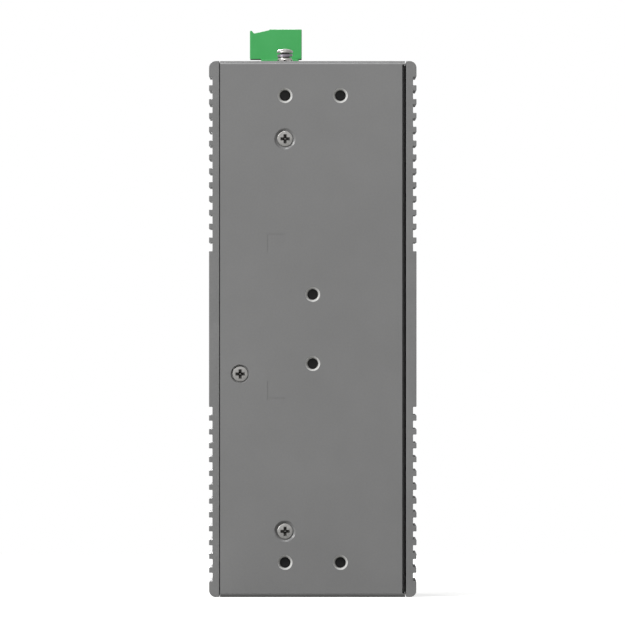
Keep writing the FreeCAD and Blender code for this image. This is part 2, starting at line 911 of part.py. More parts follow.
def make_board():
    body = new_body("main_board")
    outline = sketch_on(body, "board_outline", "YZ_Plane", "board_face")
    rectangle(outline, ("board_front", "board_low"), ("board_rear", "board_high"))
    pad(body, outline, "board_thick")
    slots = sketch_on(body, "board_tab_slots", "YZ_Plane", "board_back")
    for z in ("upper_screw_z", "lower_bracket_inset"):
        for low, high in tab_places(z):
            rectangle(
                slots,
                [f"{side} - hole_clear" for side in low],
                [f"{side} + hole_clear" for side in high],
            )
    pocket(body, slots, "board_thick")
    holes = sketch_on(body, "board_pin_holes", "YZ_Plane", "board_back")
    half = "(pin_side/2 + hole_clear)"
    centre = "(pin_low + pin_side/2)"
    low = (f"first_pole - {half}", f"{centre} - {half}")
    rectangle(holes, low, (f"first_pole + {half}", f"{centre} + {half}"))
    repeat(body, pocket(body, holes, "board_thick"), "Y_Axis", "pole_pitch", "pole_count")


def port_rows(rows):
    """Inner start and tab direction of each row of jacks, counted from the board."""
    near = "board_face - shield"
    table = [(f"({near} - row_pitch)", "+"), (f"({near} - row_pitch)", "-")]
    return table[:rows] if rows == 2 else [(f"({near})", "-")]


def cavity_outline(sketch, start, tab, z):
    """The stepped opening of one jack; its latch side points along tab."""
    floor = f"{start} {tab} cavity_floor"
    step = f"{floor} {tab} cavity_high"
    ceiling = f"{step} {tab} latch_high"
    wide, narrow = "cavity_width/2", "latch_width/2"
    climb = [(floor, wide), (step, wide), (step, narrow), (ceiling, narrow)]
    lower = [(x, f"{z} - {half}") for x, half in climb]
    upper = [(x, f"{z} + {half}") for x, half in climb[::-1]]
    loop(sketch, lower + upper)


def lamp_windows(sketch, start, tab, z, clear):
    """Two small rectangles beside the latch slot."""
    near = f"{start} {tab} (cavity_floor + cavity_high + lamp_gap - {clear})"
    far = f"{start} {tab} (cavity_floor + cavity_high + lamp_gap + lamp_high + {clear})"
    for side in "-+":
        inner = f"{z} {side} (latch_width/2 + lamp_side - {clear})"
        outer = f"{z} {side} (latch_width/2 + lamp_side + lamp_wide + {clear})"
        rectangle(sketch, (near, inner), (far, outer))


def make_jack(prefix, z, columns, rows, depth):
    """A shielded block of modular jacks with its moulding, contact strips and lamp windows."""
    first = f"{z} - ({columns} - 1)*port_pitch/2"
    half = f"({columns}*port_pitch/2)"
    edge = f"board_face - {len(rows)}*row_pitch - shield"
    many = value(columns) > 1

    def spread(body, feature):
        if many:
            repeat(body, feature, "Z_Axis", "port_pitch", columns)

    housing = new_body(prefix + "_housing")
    outline = sketch_on(housing, prefix + "_moulding", "XZ_Plane", "port_front + shield")
    rectangle(outline, (edge, f"{z} - {half}"), ("board_face - shield", f"{z} + {half}"))
    pad(housing, outline, f"{depth} - shield", reverse=True)
    skin = new_body(prefix + "_shield")
    outline = sketch_on(skin, prefix + "_shell", "XZ_Plane", "port_front")
    low = (f"{edge} - shield", f"{z} - {half} - shield")
    rectangle(outline, low, ("board_face", f"{z} + {half} + shield"))
    pad(skin, outline, depth, reverse=True)
    inside = sketch_on(skin, prefix + "_shell_inside", "XZ_Plane", "port_front + shield")
    rectangle(inside, (edge, f"{z} - {half}"), ("board_face - shield", f"{z} + {half}"))
    pocket(skin, inside, depth)
    contacts = new_body(prefix + "_contacts")
    pipes = new_body(prefix + "_light_pipes")
    for number, (start, tab) in enumerate(rows, start=1):
        name = f"{prefix}_row_{number}"
        cavity = sketch_on(housing, name + "_cavity", "XZ_Plane", "port_front + shield")
        cavity_outline(cavity, start, tab, first)
        spread(housing, pocket(housing, cavity, "cavity_depth"))
        lamps = sketch_on(housing, name + "_lamp_slots", "XZ_Plane", "port_front + shield")
        lamp_windows(lamps, start, tab, first, "pipe_clear")
        spread(housing, pocket(housing, lamps, "lamp_depth"))
        mouth = sketch_on(skin, name + "_mouth", "XZ_Plane", "port_front")
        cavity_outline(mouth, start, tab, first)
        lamp_windows(mouth, start, tab, first, "pipe_clear")
        spread(skin, pocket(skin, mouth, "shield"))

        floor = f"{start} {tab} cavity_floor"
        foot = "port_front + contact_inset"
        strip = "((contact_count - 1)*contact_pitch + contact_wide)"
        wire = sketch_on(contacts, name + "_contact", "XY_Plane", f"{first} - {strip}/2")
        corners = [
            (floor, foot),
            (f"{floor} {tab} contact_thick", foot),
            (f"{floor} {tab} (contact_thick + contact_rise)", f"{foot} + contact_run"),
            (f"{floor} {tab} contact_rise", f"{foot} + contact_run"),
        ]
        loop(wire, corners if tab == "+" else corners[::-1])
        spread(contacts, pad(contacts, wire, strip))
        bars = sketch_on(pipes, name + "_pipes", "XZ_Plane", "port_front")
        lamp_windows(bars, start, tab, first, "0*pipe_clear")
        spread(pipes, pad(pipes, bars, "lamp_depth", reverse=True))


def bay_rows():
    """Low and high X of the two rows of module slots."""
    first = ("board_face - cage_wall - bay_high", "board_face - cage_wall")
    second = ("cage_edge + cage_wall", "cage_edge + cage_wall + bay_high")
    return [first, second]


def slot_lamps(sketch, side):
    """Two square light channels between the rows of module slots."""
    x = "(board_face - cage_high/2)"
    for sign in "-+":
        z = f"(cage_low + cage_wall + bay_width/2 {sign} slot_lamp_spread)"
        rectangle(sketch, (f"{x} - {side}", f"{z} - {side}"), (f"{x} + {side}", f"{z} + {side}"))


def make_module_slots():
    step = "bay_width + cage_wall"
    cage = new_body("module_cage")
    outline = sketch_on(cage, "cage_outline", "XZ_Plane", "port_front")
    rectangle(outline, ("cage_edge", "cage_low"), ("board_face", "cage_low + cage_wide"))
    pad(cage, outline, "cage_depth", reverse=True)
    bays = sketch_on(cage, "cage_bays", "XZ_Plane", "port_front")
    for low, high in bay_rows():
        rectangle(bays, (low, "cage_low + cage_wall"), (high, "cage_low + cage_wall + bay_width"))
    repeat(cage, pocket(cage, bays, "cage_depth - cage_wall"), "Z_Axis", step, "2")
    channels = sketch_on(cage, "cage_light_channels", "XZ_Plane", "port_front")
    slot_lamps(channels, "(slot_lamp_side/2 + pipe_clear)")
    repeat(cage, pocket(cage, channels, "slot_lamp_depth"), "Z_Axis", step, "2")

    pipes = new_body("module_light_pipes")
    bars = sketch_on(pipes, "module_light_bars", "XZ_Plane", "port_front")
    slot_lamps(bars, "(slot_lamp_side/2)")
    repeat(pipes, pad(pipes, bars, "slot_lamp_depth", reverse=True), "Z_Axis", step, "2")

    sockets = new_body("module_connectors")
    rear = "cage_back - cage_wall"
    z = "(cage_low + cage_wall + bay_width/2)"
    body_sketch = sketch_on(sockets, "socket_blocks", "XZ_Plane", f"{rear} - slot_connector_deep")
    slit = []
    for low, high in bay_rows():
        half = "slot_connector_wide/2"
        rectangle(body_sketch, (f"{high} - slot_connector_high", f"{z} - {half}"), (high, f"{z} + {half}"))
        near = f"{high} - edge_slot_lift"
        corner = (f"{near} - edge_slot_high", f"{z} - edge_slot_wide/2")
        slit.append((corner, (near, f"{z} + edge_slot_wide/2")))
    repeat(sockets, pad(sockets, body_sketch, "slot_connector_deep", reverse=True), "Z_Axis", step, "2")
    slits = sketch_on(sockets, "socket_slits", "XZ_Plane", f"{rear} - slot_connector_deep")
    for low, high in slit:
        rectangle(slits, low, high)
    repeat(sockets, pocket(sockets, slits, "edge_slot_deep"), "Z_Axis", step, "2")

    gasket = new_body("module_gasket")
    ring = sketch_on(gasket, "gasket_outline", "XZ_Plane", "front + sheet")
    low, high = "cage_low", "cage_low + cage_wide"
    loop(
        ring,
        [
            ("board_face", f"{low} - gasket_thick"),
            ("board_face", low),
            ("cage_edge", low),
            ("cage_edge", high),
            ("board_face", high),
            ("board_face", f"{high} + gasket_thick"),
            ("cage_edge - gasket_thick", f"{high} + gasket_thick"),
            ("cage_edge - gasket_thick", f"{low} - gasket_thick"),
        ],
    )
    pad(gasket, ring, "gasket_deep", reverse=True)


def make_reset():
    half = "reset_wide/2"
    case = block(
        "reset_case",
        ("board_face - reset_high", "reset_front", f"reset_inset - {half}"),
        ("board_face", "reset_front + reset_deep", f"reset_inset + {half}"),
    )
    room = "(button_radius + button_clear)"
    well = block(
        "reset_well",
        (f"button_x - {room}", "reset_front", f"reset_inset - {room}"),
        (f"button_x + {room}", "reset_front + button_seat + button_room", f"reset_inset + {room}"),
    )
    node("reset_switch", [cut_out("reset_case_bored", case, [well])])
    body = new_body("reset_button")
    section = sketch_on(body, "button_section", "XY_Plane", "reset_inset", shift="button_x")
    tip = "front - button_proud"
    loop(
        section,
        [
            ("0", tip),
            ("button_radius", tip),
            ("button_radius", "reset_front + button_seat"),
            ("0", "reset_front + button_seat"),
        ],
    )
    revolve(body, section)


def make_status_lamps():
    guide = new_body("status_light_guide")
    rods = sketch_on(guide, "guide_rod", "XZ_Plane", "front")
    status_window(rods, "0")
    rod_pad = pad(guide, rods, "light_guide_length", reverse=True)
    repeat(guide, rod_pad, "Z_Axis", "lamp_pitch", "lamp_count", reverse=True)
    bar = sketch_on(guide, "guide_bar", "XZ_Plane", "front + light_guide_length")
    reach = "(lamp_chip_wide/2 + guide_slack)"
    low = f"(lamp_top - (lamp_count - 1)*lamp_pitch - {reach})"
    high = f"(lamp_top + {reach})"
    rectangle(bar, ("lamp_x - status_wide/2", low), ("board_face - lamp_chip_high", high))
    pad(guide, bar, "light_guide_bar", reverse=True)
    feet = sketch_on(guide, "guide_feet", "XZ_Plane", "front + light_guide_length")
    for base in (high, f"({low} - guide_foot)"):
        rectangle(feet, ("lamp_x - status_wide/2", base), ("board_face", f"{base} + guide_foot"))
    pad(guide, feet, "light_guide_bar", reverse=True)

    chips = new_body("status_lamps")
    chip = sketch_on(chips, "lamp_chip", "XZ_Plane", "front + light_guide_length")
    half = "lamp_chip_wide/2"
    low = ("board_face - lamp_chip_high", f"lamp_top - {half}")
    rectangle(chip, low, ("board_face", f"lamp_top + {half}"))
    chip_pad = pad(chips, chip, "light_guide_bar", reverse=True)
    repeat(chips, chip_pad, "Z_Axis", "lamp_pitch", "lamp_count", reverse=True)


def make_terminal():
    header = new_body("terminal_header")
    outline = sketch_on(header, "header_outline", "XY_Plane", "header_low")
    rectangle(outline, ("header_left", "header_front"), ("board_face", "header_back"))
    pad(header, outline, "header_high")
    well = sketch_on(header, "header_well", "XY_Plane", "header_top")
    rectangle(
        well,
        ("well_left", "terminal_front - plug_clear"),
        ("well_right", "terminal_back + plug_clear"),
    )
    pocket(header, well, "header_top - well_low")
    slot = sketch_on(header, "header_pin_slot", "XY_Plane", "well_low")
    half = "pin_side/2"
    low = (f"pin_x - {half}", f"first_pole - {half}")
    rectangle(slot, low, (f"pin_x + {half}", f"first_pole + {half}"))
    repeat(header, pocket(header, slot, "header_floor"), "Y_Axis", "pole_pitch", "pole_count")

    pins = new_body("header_pins")
    bend = sketch_on(pins, "pin_outline", "XZ_Plane", f"first_pole + {half}")
    end = "board_back + pin_stub"
    loop(
        bend,
        [
            (f"pin_x - {half}", "pin_low"),
            (end, "pin_low"),
            (end, "pin_low + pin_side"),
            (f"pin_x + {half}", "pin_low + pin_side"),
            (f"pin_x + {half}", "pin_tip"),
            (f"pin_x - {half}", "pin_tip"),
        ],
    )
    repeat(pins, pad(pins, bend, "pin_side"), "Y_Axis", "pole_pitch", "pole_count")
    make_plug()


def each_pole(body, feature):
    repeat(body, feature, "Y_Axis", "pole_pitch", "pole_count")


def make_plug():
    """The pluggable half: moulding, wire clamps, clamp screws and contact leaves."""
    plug = new_body("terminal_plug")
    outline = sketch_on(plug, "plug_outline", "XZ_Plane", "terminal_back")
    loop(
        outline,
        [
            ("plug_right", "header_top"),
            ("plug_right", "top + plug_edge_top"),
            ("plug_right - plug_edge_wide", "top + plug_edge_top"),
            ("plug_right - plug_dip_at", "top + plug_dip"),
            ("plug_right - plug_slope_at", "top + plug_slope_top"),
            ("plug_right - plug_step_at", "top + plug_top"),
            ("plug_left", "top + plug_top"),
            ("plug_left", "header_top"),
            ("mate_left", "header_top"),
            ("mate_left", "mate_low"),
            ("mate_right", "mate_low"),
            ("mate_right", "header_top"),
        ],
    )
    pad(plug, outline, "terminal_long")
    entry = sketch_on(plug, "wire_entry", "XY_Plane", "top + plug_top")
    rectangle(
        entry,
        ("pin_x - wire_long/2", "first_pole - wire_wide/2"),
        ("pin_x + wire_long/2", "first_pole + wire_wide/2"),
    )
    each_pole(plug, pocket(plug, entry, "top + plug_top - wire_low"))
    throat = sketch_on(plug, "contact_throat", "XY_Plane", "wire_low")
    across = "(leaf_outer + leaf_slack)"
    along = "(leaf_wide/2 + leaf_slack)"
    low = (f"pin_x - {across}", f"first_pole - {along}")
    rectangle(throat, low, (f"pin_x + {across}", f"first_pole + {along}"))
    each_pole(plug, pocket(plug, throat, "wire_low - mate_low"))
    driver = sketch_on(plug, "driver_opening", "YZ_Plane", "plug_right")
    half = "(clamp_screw_head + clamp_clear)"
    low = (f"first_pole - {half}", f"clamp_z - {half}")
    rectangle(driver, low, (f"first_pole + {half}", f"clamp_z + {half}"))
    each_pole(plug, pocket(plug, driver, "plug_right - pin_x - wire_long/2"))

    clamps = new_body("plug_clamps")
    frame = sketch_on(clamps, "clamp_frame", "XY_Plane", "wire_low")
    for x, y in (("clamp_half", "clamp_side"), ("(clamp_half - clamp_wall)", "(clamp_side - clamp_wall)")):
        rectangle(frame, (f"pin_x - {x}", f"first_pole - {y}"), (f"pin_x + {x}", f"first_pole + {y}"))
    each_pole(clamps, pad(clamps, frame, "clamp_high"))

    start = "plug_right - clamp_screw_sunk"
    reach = f"{start} - pin_x - clamp_half"
    screws = []
    for number in range(int(SIZES["pole_count"])):
        place = (start, f"first_pole + {number}*pole_pitch", "clamp_z")
        screws.append(prism(f"clamp_screw_{number}", place, "-X", 8, "clamp_screw_head", reach))
    node("plug_screws", screws)

    leaves = new_body("plug_contacts")
    leaf = sketch_on(leaves, "leaf_outline", "XZ_Plane", "first_pole + leaf_wide/2")
    foot, bridge = "mate_low", "(pin_tip + leaf_gap + leaf_thick)"
    loop(
        leaf,
        [
            ("pin_x - leaf_outer", foot),
            ("pin_x - leaf_inner", foot),
            ("pin_x - leaf_inner", f"{bridge} - leaf_thick"),
            ("pin_x + leaf_inner", f"{bridge} - leaf_thick"),
            ("pin_x + leaf_inner", foot),
            ("pin_x + leaf_outer", foot),
            ("pin_x + leaf_outer", bridge),
            ("pin_x - leaf_inner", bridge),
            ("pin_x - leaf_inner", "wire_low + clamp_high"),
            ("pin_x - leaf_outer", "wire_low + clamp_high"),
        ],
    )
    each_pole(leaves, pad(leaves, leaf, "leaf_wide"))


def turned(label, corners, place):
    """A piece turned about an upright axis through (x, y); corners are (radius, height)."""
    body = new_body(label)
    section = sketch_on(body, label + "_section", "XZ_Plane", place[1], shift=place[0])
    loop(section, corners)
    revolve(body, section)
    return body


def make_ground():
    place = ("ground_x", "ground_y")
    head_low = "top + ground_top - ground_head_high"
    head_top = "top + ground_top"
    screw = turned(
        "ground_screw",
        [
            ("0", "top - ground_shank"),
            ("shank", "top - ground_shank"),
            ("shank", head_low),
            ("ground_head_radius", head_low),
            ("ground_head_radius", f"{head_top} - ground_dome"),
            ("ground_head_radius - ground_dome", head_top),
            ("0", head_top),
        ],
        place,
    )
    cross = sketch_on(screw, "ground_cross", "XY_Plane", head_top)
    arm = "cross_arm/2"
    rectangle(
        cross,
        ("ground_x - ground_head_radius", f"ground_y - {arm}"),
        ("ground_x + ground_head_radius", f"ground_y + {arm}"),
    )
    pocket(screw, cross, "cross_depth")
    turned(
        "ground_cup_washer",
        [
            ("clear_radius", "top"),
            ("cup_radius", "top"),
            ("cup_top_radius", "top + cup_high"),
            ("clear_radius", "top + cup_high"),
        ],
        place,
    )
    ring = turned(
        "ground_spring_washer",
        [
            ("clear_radius", "top + cup_high"),
            ("spring_radius", "top + cup_high"),
            ("spring_radius", "top + cup_high + spring_high"),
            ("clear_radius", "top + cup_high + spring_high"),
        ],
        place,
    )
    split = sketch_on(ring, "spring_split", "XY_Plane", "top + cup_high + spring_high")
    half = "spring_slot/2"
    rectangle(split, (f"ground_x - {half}", "ground_y"), (f"ground_x + {half}", "ground_y + spring_radius"))
    pocket(ring, split, "spring_high")

    below = ("ground_x", "ground_y", "top - sheet")
    nut = prism("ground_nut_blank", below, "-Z", 6, "nut_radius", "nut_high")
    bore = rod("ground_nut_bore", below, "-Z", "thread_radius", "nut_high")
    node("ground_nut", [cut_out("ground_nut_tapped", nut, [bore])])


def on_plate_side(name, y, z, long, wide, start, end):
    """A flat part on the board's plate side, centred at (y, z)."""
    low = (start, f"{y} - {long}/2", f"{z} - {wide}/2")
    return block(name, low, (end, f"{y} + {long}/2", f"{z} + {wide}/2"))


def on_port_side(name, y, z, long, wide, high):
    """A part that stands on the board's port side, centred at (y, z)."""
    return on_plate_side(name, y, z, long, wide, f"board_face - {high}", "board_face")


def make_circuits():
    chip_top = "board_back + chip_high"
    chips = (
        ("switch", "switch_chip_y", "switch_chip_side", "large_block_side"),
        ("processor", "processor_y", "processor_side", "small_block_side"),
    )
    pads, blocks = [], []
    for name, y, side, wide in chips:
        package = on_plate_side(f"{name}_package", y, "mid", side, side, "board_back", chip_top)
        node(f"{name}_chip", [package])
        pads.append(on_plate_side(f"{name}_pad", y, "mid", side, side, chip_top, "block_inner"))
        blocks.append(on_plate_side(f"{name}_block", y, "mid", wide, wide, "block_inner", "plate_inner"))
    node("thermal_pads", pads)
    node("heat_blocks", blocks)

    memory = [
        on_plate_side(
            f"memory_{number}",
            "processor_y",
            f"mid {sign} memory_spread",
            "memory_wide",
            "memory_long",
            "board_back",
            "board_back + memory_high",
        )
        for number, sign in enumerate("-+")
    ]
    node("memory_chips", memory)
    drivers = [
        on_plate_side(
            f"driver_{number}",
            "driver_y",
            f"mid {sign} driver_spread",
            "driver_side",
            "driver_side",
            "board_back",
            "board_back + driver_high",
        )
        for number, sign in enumerate("-+")
    ]
    node("port_drivers", drivers)
    crystals = [
        on_plate_side(
            f"crystal_{number}",
            "crystal_y",
            f"mid {sign} crystal_spread",
            "crystal_wide",
            "crystal_long",
            "board_back",
            "board_back + crystal_high",
        )
        for number, sign in enumerate("-+")
    ]
    node("clock_crystals", crystals)


def make_power():
    cans = [
        prism(
            f"can_{number}",
            ("board_face", "can_y", f"mid - can_rise - {number}*can_pitch"),
            "-X",
            12,
            "can_radius",
            "can_high",
        )
        for number in range(int(SIZES["can_count"]))
    ]
    node("power_capacitors", cans)
    first = "mid - coil_drop + coil_pitch"
    coils = []
    for number in range(int(SIZES["coil_count"])):
        z = f"{first} - {number}*coil_pitch"
        coils.append(on_port_side(f"coil_{number}", "coil_y", z, "coil_side", "coil_side", "coil_high"))
    node("power_inductors", coils)
    core = on_port_side("core", "core_y", "top - core_drop", "core_wide", "core_long", "core_high")
    node("power_transformer", [core])
    relay = on_port_side("relay", "relay_y", "top - relay_drop", "relay_long", "relay_wide", "relay_high")
    node("alarm_relay", [relay])
    fuses = []
    for number in range(2):
        y = f"fuse_y + {number}*fuse_pitch"
        z = "top - fuse_drop"
        fuses.append(on_port_side(f"fuse_{number}", y, z, "fuse_wide", "fuse_long", "fuse_high"))
    node("input_fuses", fuses)
    centre = ("board_face", "choke_y", "top - choke_drop")
    ring = prism("choke_ring", centre, "-X", 16, "choke_outer", "choke_high")
    hole = prism("choke_hole", centre, "-X", 16, "choke_inner", "choke_high")
    node("input_choke", [cut_out("choke_core", ring, [hole])])


def check_document():
    """Stops on a failed object, an empty cut or a piece that isn't sound."""
    failed = [item.Name for item in doc.Objects if "Invalid" in item.State or "Error" in item.State]
    if failed:
        raise RuntimeError("failed: " + ", ".join(failed))
    for feature in CUTS:
        if feature.Shape.Volume > feature.BaseFeature.Shape.Volume - 1e-4:
            raise RuntimeError("nothing cut by " + feature.Name)
    for label, piece in NODES.items():
        if piece.Shape.isNull() or not piece.Shape.isValid():
            raise RuntimeError("unsound piece " + label)


make_chassis()
make_front_panel()
make_finned_side("finned_side_left", "-")
sink_right_plate(make_finned_side("finned_side_right", ""))
make_brackets()
make_screws()
make_board()
make_jack("port_block", "jack_z", "jack_columns", port_rows(2), "jack_depth")
make_jack("console_port", "console_z", "1", port_rows(1), "console_depth")
make_module_slots()
make_reset()
make_status_lamps()
make_terminal()
make_ground()
make_circuits()
make_power()
doc.recompute()
check_document()

os.makedirs("parts", exist_ok=True)
for label, piece in NODES.items():
    piece.Shape.exportStep(f"parts/{label}.step")
print(len(NODES), "pieces written")
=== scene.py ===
import json
import math

import bmesh
import bpy
from mathutils import Matrix, Vector


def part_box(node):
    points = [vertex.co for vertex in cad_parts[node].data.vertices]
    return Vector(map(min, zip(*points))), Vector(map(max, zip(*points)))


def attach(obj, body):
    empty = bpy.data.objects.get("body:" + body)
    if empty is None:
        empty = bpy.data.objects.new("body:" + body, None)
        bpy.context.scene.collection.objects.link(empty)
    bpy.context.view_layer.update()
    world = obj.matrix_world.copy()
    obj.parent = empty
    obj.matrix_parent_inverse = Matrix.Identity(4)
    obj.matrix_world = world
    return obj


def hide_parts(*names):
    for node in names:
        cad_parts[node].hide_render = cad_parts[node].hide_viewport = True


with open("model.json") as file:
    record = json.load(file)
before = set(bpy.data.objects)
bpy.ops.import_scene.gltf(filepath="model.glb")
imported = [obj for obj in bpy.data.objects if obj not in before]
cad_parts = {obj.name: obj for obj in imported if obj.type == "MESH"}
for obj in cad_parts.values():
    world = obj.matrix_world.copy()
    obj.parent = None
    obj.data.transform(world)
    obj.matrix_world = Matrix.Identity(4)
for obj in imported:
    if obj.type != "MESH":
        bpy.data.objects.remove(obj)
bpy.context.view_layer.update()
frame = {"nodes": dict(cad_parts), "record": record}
record = frame["record"]
bodyOf = {node: body for body, nodes in record["behaviour"]["bodies"].items() for node in nodes}
mm = 0.001
toMm = 1000
print("frame loaded with", len(frame["nodes"]), "nodes")

# Shapes are made in millimetres and scaled to metres once, in pieceFrom.


def linearColour(code):
    # an sRGB code as linear light
    channels = [int(code[start:start + 2], 16) / 255 for start in (1, 3, 5)]
    return [c / 12.92 if c <= 0.04045 else ((c + 0.055) / 1.055) ** 2.4 for c in channels] + [1.0]


def addNode(tree, kind, settings, links):
    node = tree.nodes.new(kind)
    for name, setting in settings.items():
        if isinstance(name, str) and hasattr(node, name):
            setattr(node, name, setting)
        else:
            node.inputs[name].default_value = setting
    for name, source in links.items():
        tree.links.new(source, node.inputs[name])
    return node


def emptyMaterial(name):
    material = bpy.data.materials.new(name)
    material.use_nodes = True
    material.node_tree.nodes.clear()
    return material, material.node_tree


# what every finish has unless it says otherwise
finishBase = {
    "blotchDetail": 3.0, "blotchRough": 0.6, "grainDetail": 2.5, "grainRough": 0.55, "grainShare": 0.4,
    "toneFrom": 0.34, "toneTo": 0.66, "glossFrom": 0.3, "glossTo": 0.7,
    "stretch": (1, 1, 1), "metallic": 0.0, "sockets": {},
}


def grainedFinish(name, look):
    # two tones mixed by soft blotches and fine grain, with the same grain in the gloss and the relief
    material, tree = emptyMaterial(name)
    place = addNode(tree, "ShaderNodeTexCoord", {}, {})
    stretched = addNode(
        tree, "ShaderNodeMapping", {"Scale": look["stretch"]}, {"Vector": place.outputs["Object"]}
    )
    blotch = addNode(
        tree,
        "ShaderNodeTexNoise",
        {"Scale": toMm / look["blotchMm"], "Detail": look["blotchDetail"], "Roughness": look["blotchRough"]},
        {"Vector": stretched.outputs["Vector"]},
    )
    grain = addNode(
        tree,
        "ShaderNodeTexNoise",
        {"Scale": toMm / look["grainMm"], "Detail": look["grainDetail"], "Roughness": look["grainRough"]},
        {"Vector": stretched.outputs["Vector"]},
    )
    both = addNode(
        tree,
        "ShaderNodeMix",
        {"data_type": "FLOAT", "Factor": look["grainShare"]},
        {2: blotch.outputs["Fac"], 3: grain.outputs["Fac"]},
    )
    tone = addNode(tree, "ShaderNodeValToRGB", {}, {"Fac": both.outputs[0]})
    dark, light = tone.color_ramp.elements
    dark.position, light.position = look["toneFrom"], look["toneTo"]
    dark.color, light.color = linearColour(look["dark"]), linearColour(look["light"])
    gloss = addNode(
        tree,
        "ShaderNodeMapRange",
        {
            "From Min": look["glossFrom"],
            "From Max": look["glossTo"],
            "To Min": look["rough"][0],
            "To Max": look["rough"][1],
        },
        {"Value": grain.outputs["Fac"]},
    )
    relief = addNode(
        tree,
        "ShaderNodeBump",
        {"Strength": 1.0, "Distance": look["reliefMm"] * mm},
        {"Height": grain.outputs["Fac"]},
    )
    surface = addNode(
        tree,
        "ShaderNodeBsdfPrincipled",
        {"Metallic": look["metallic"], **look["sockets"]},
        {
            "Base Color": tone.outputs["Color"],
            "Roughness": gloss.outputs["Result"],
            "Normal": relief.outputs["Normal"],
        },
    )
    addNode(tree, "ShaderNodeOutputMaterial", {}, {"Surface": surface.outputs["BSDF"]})
    return material


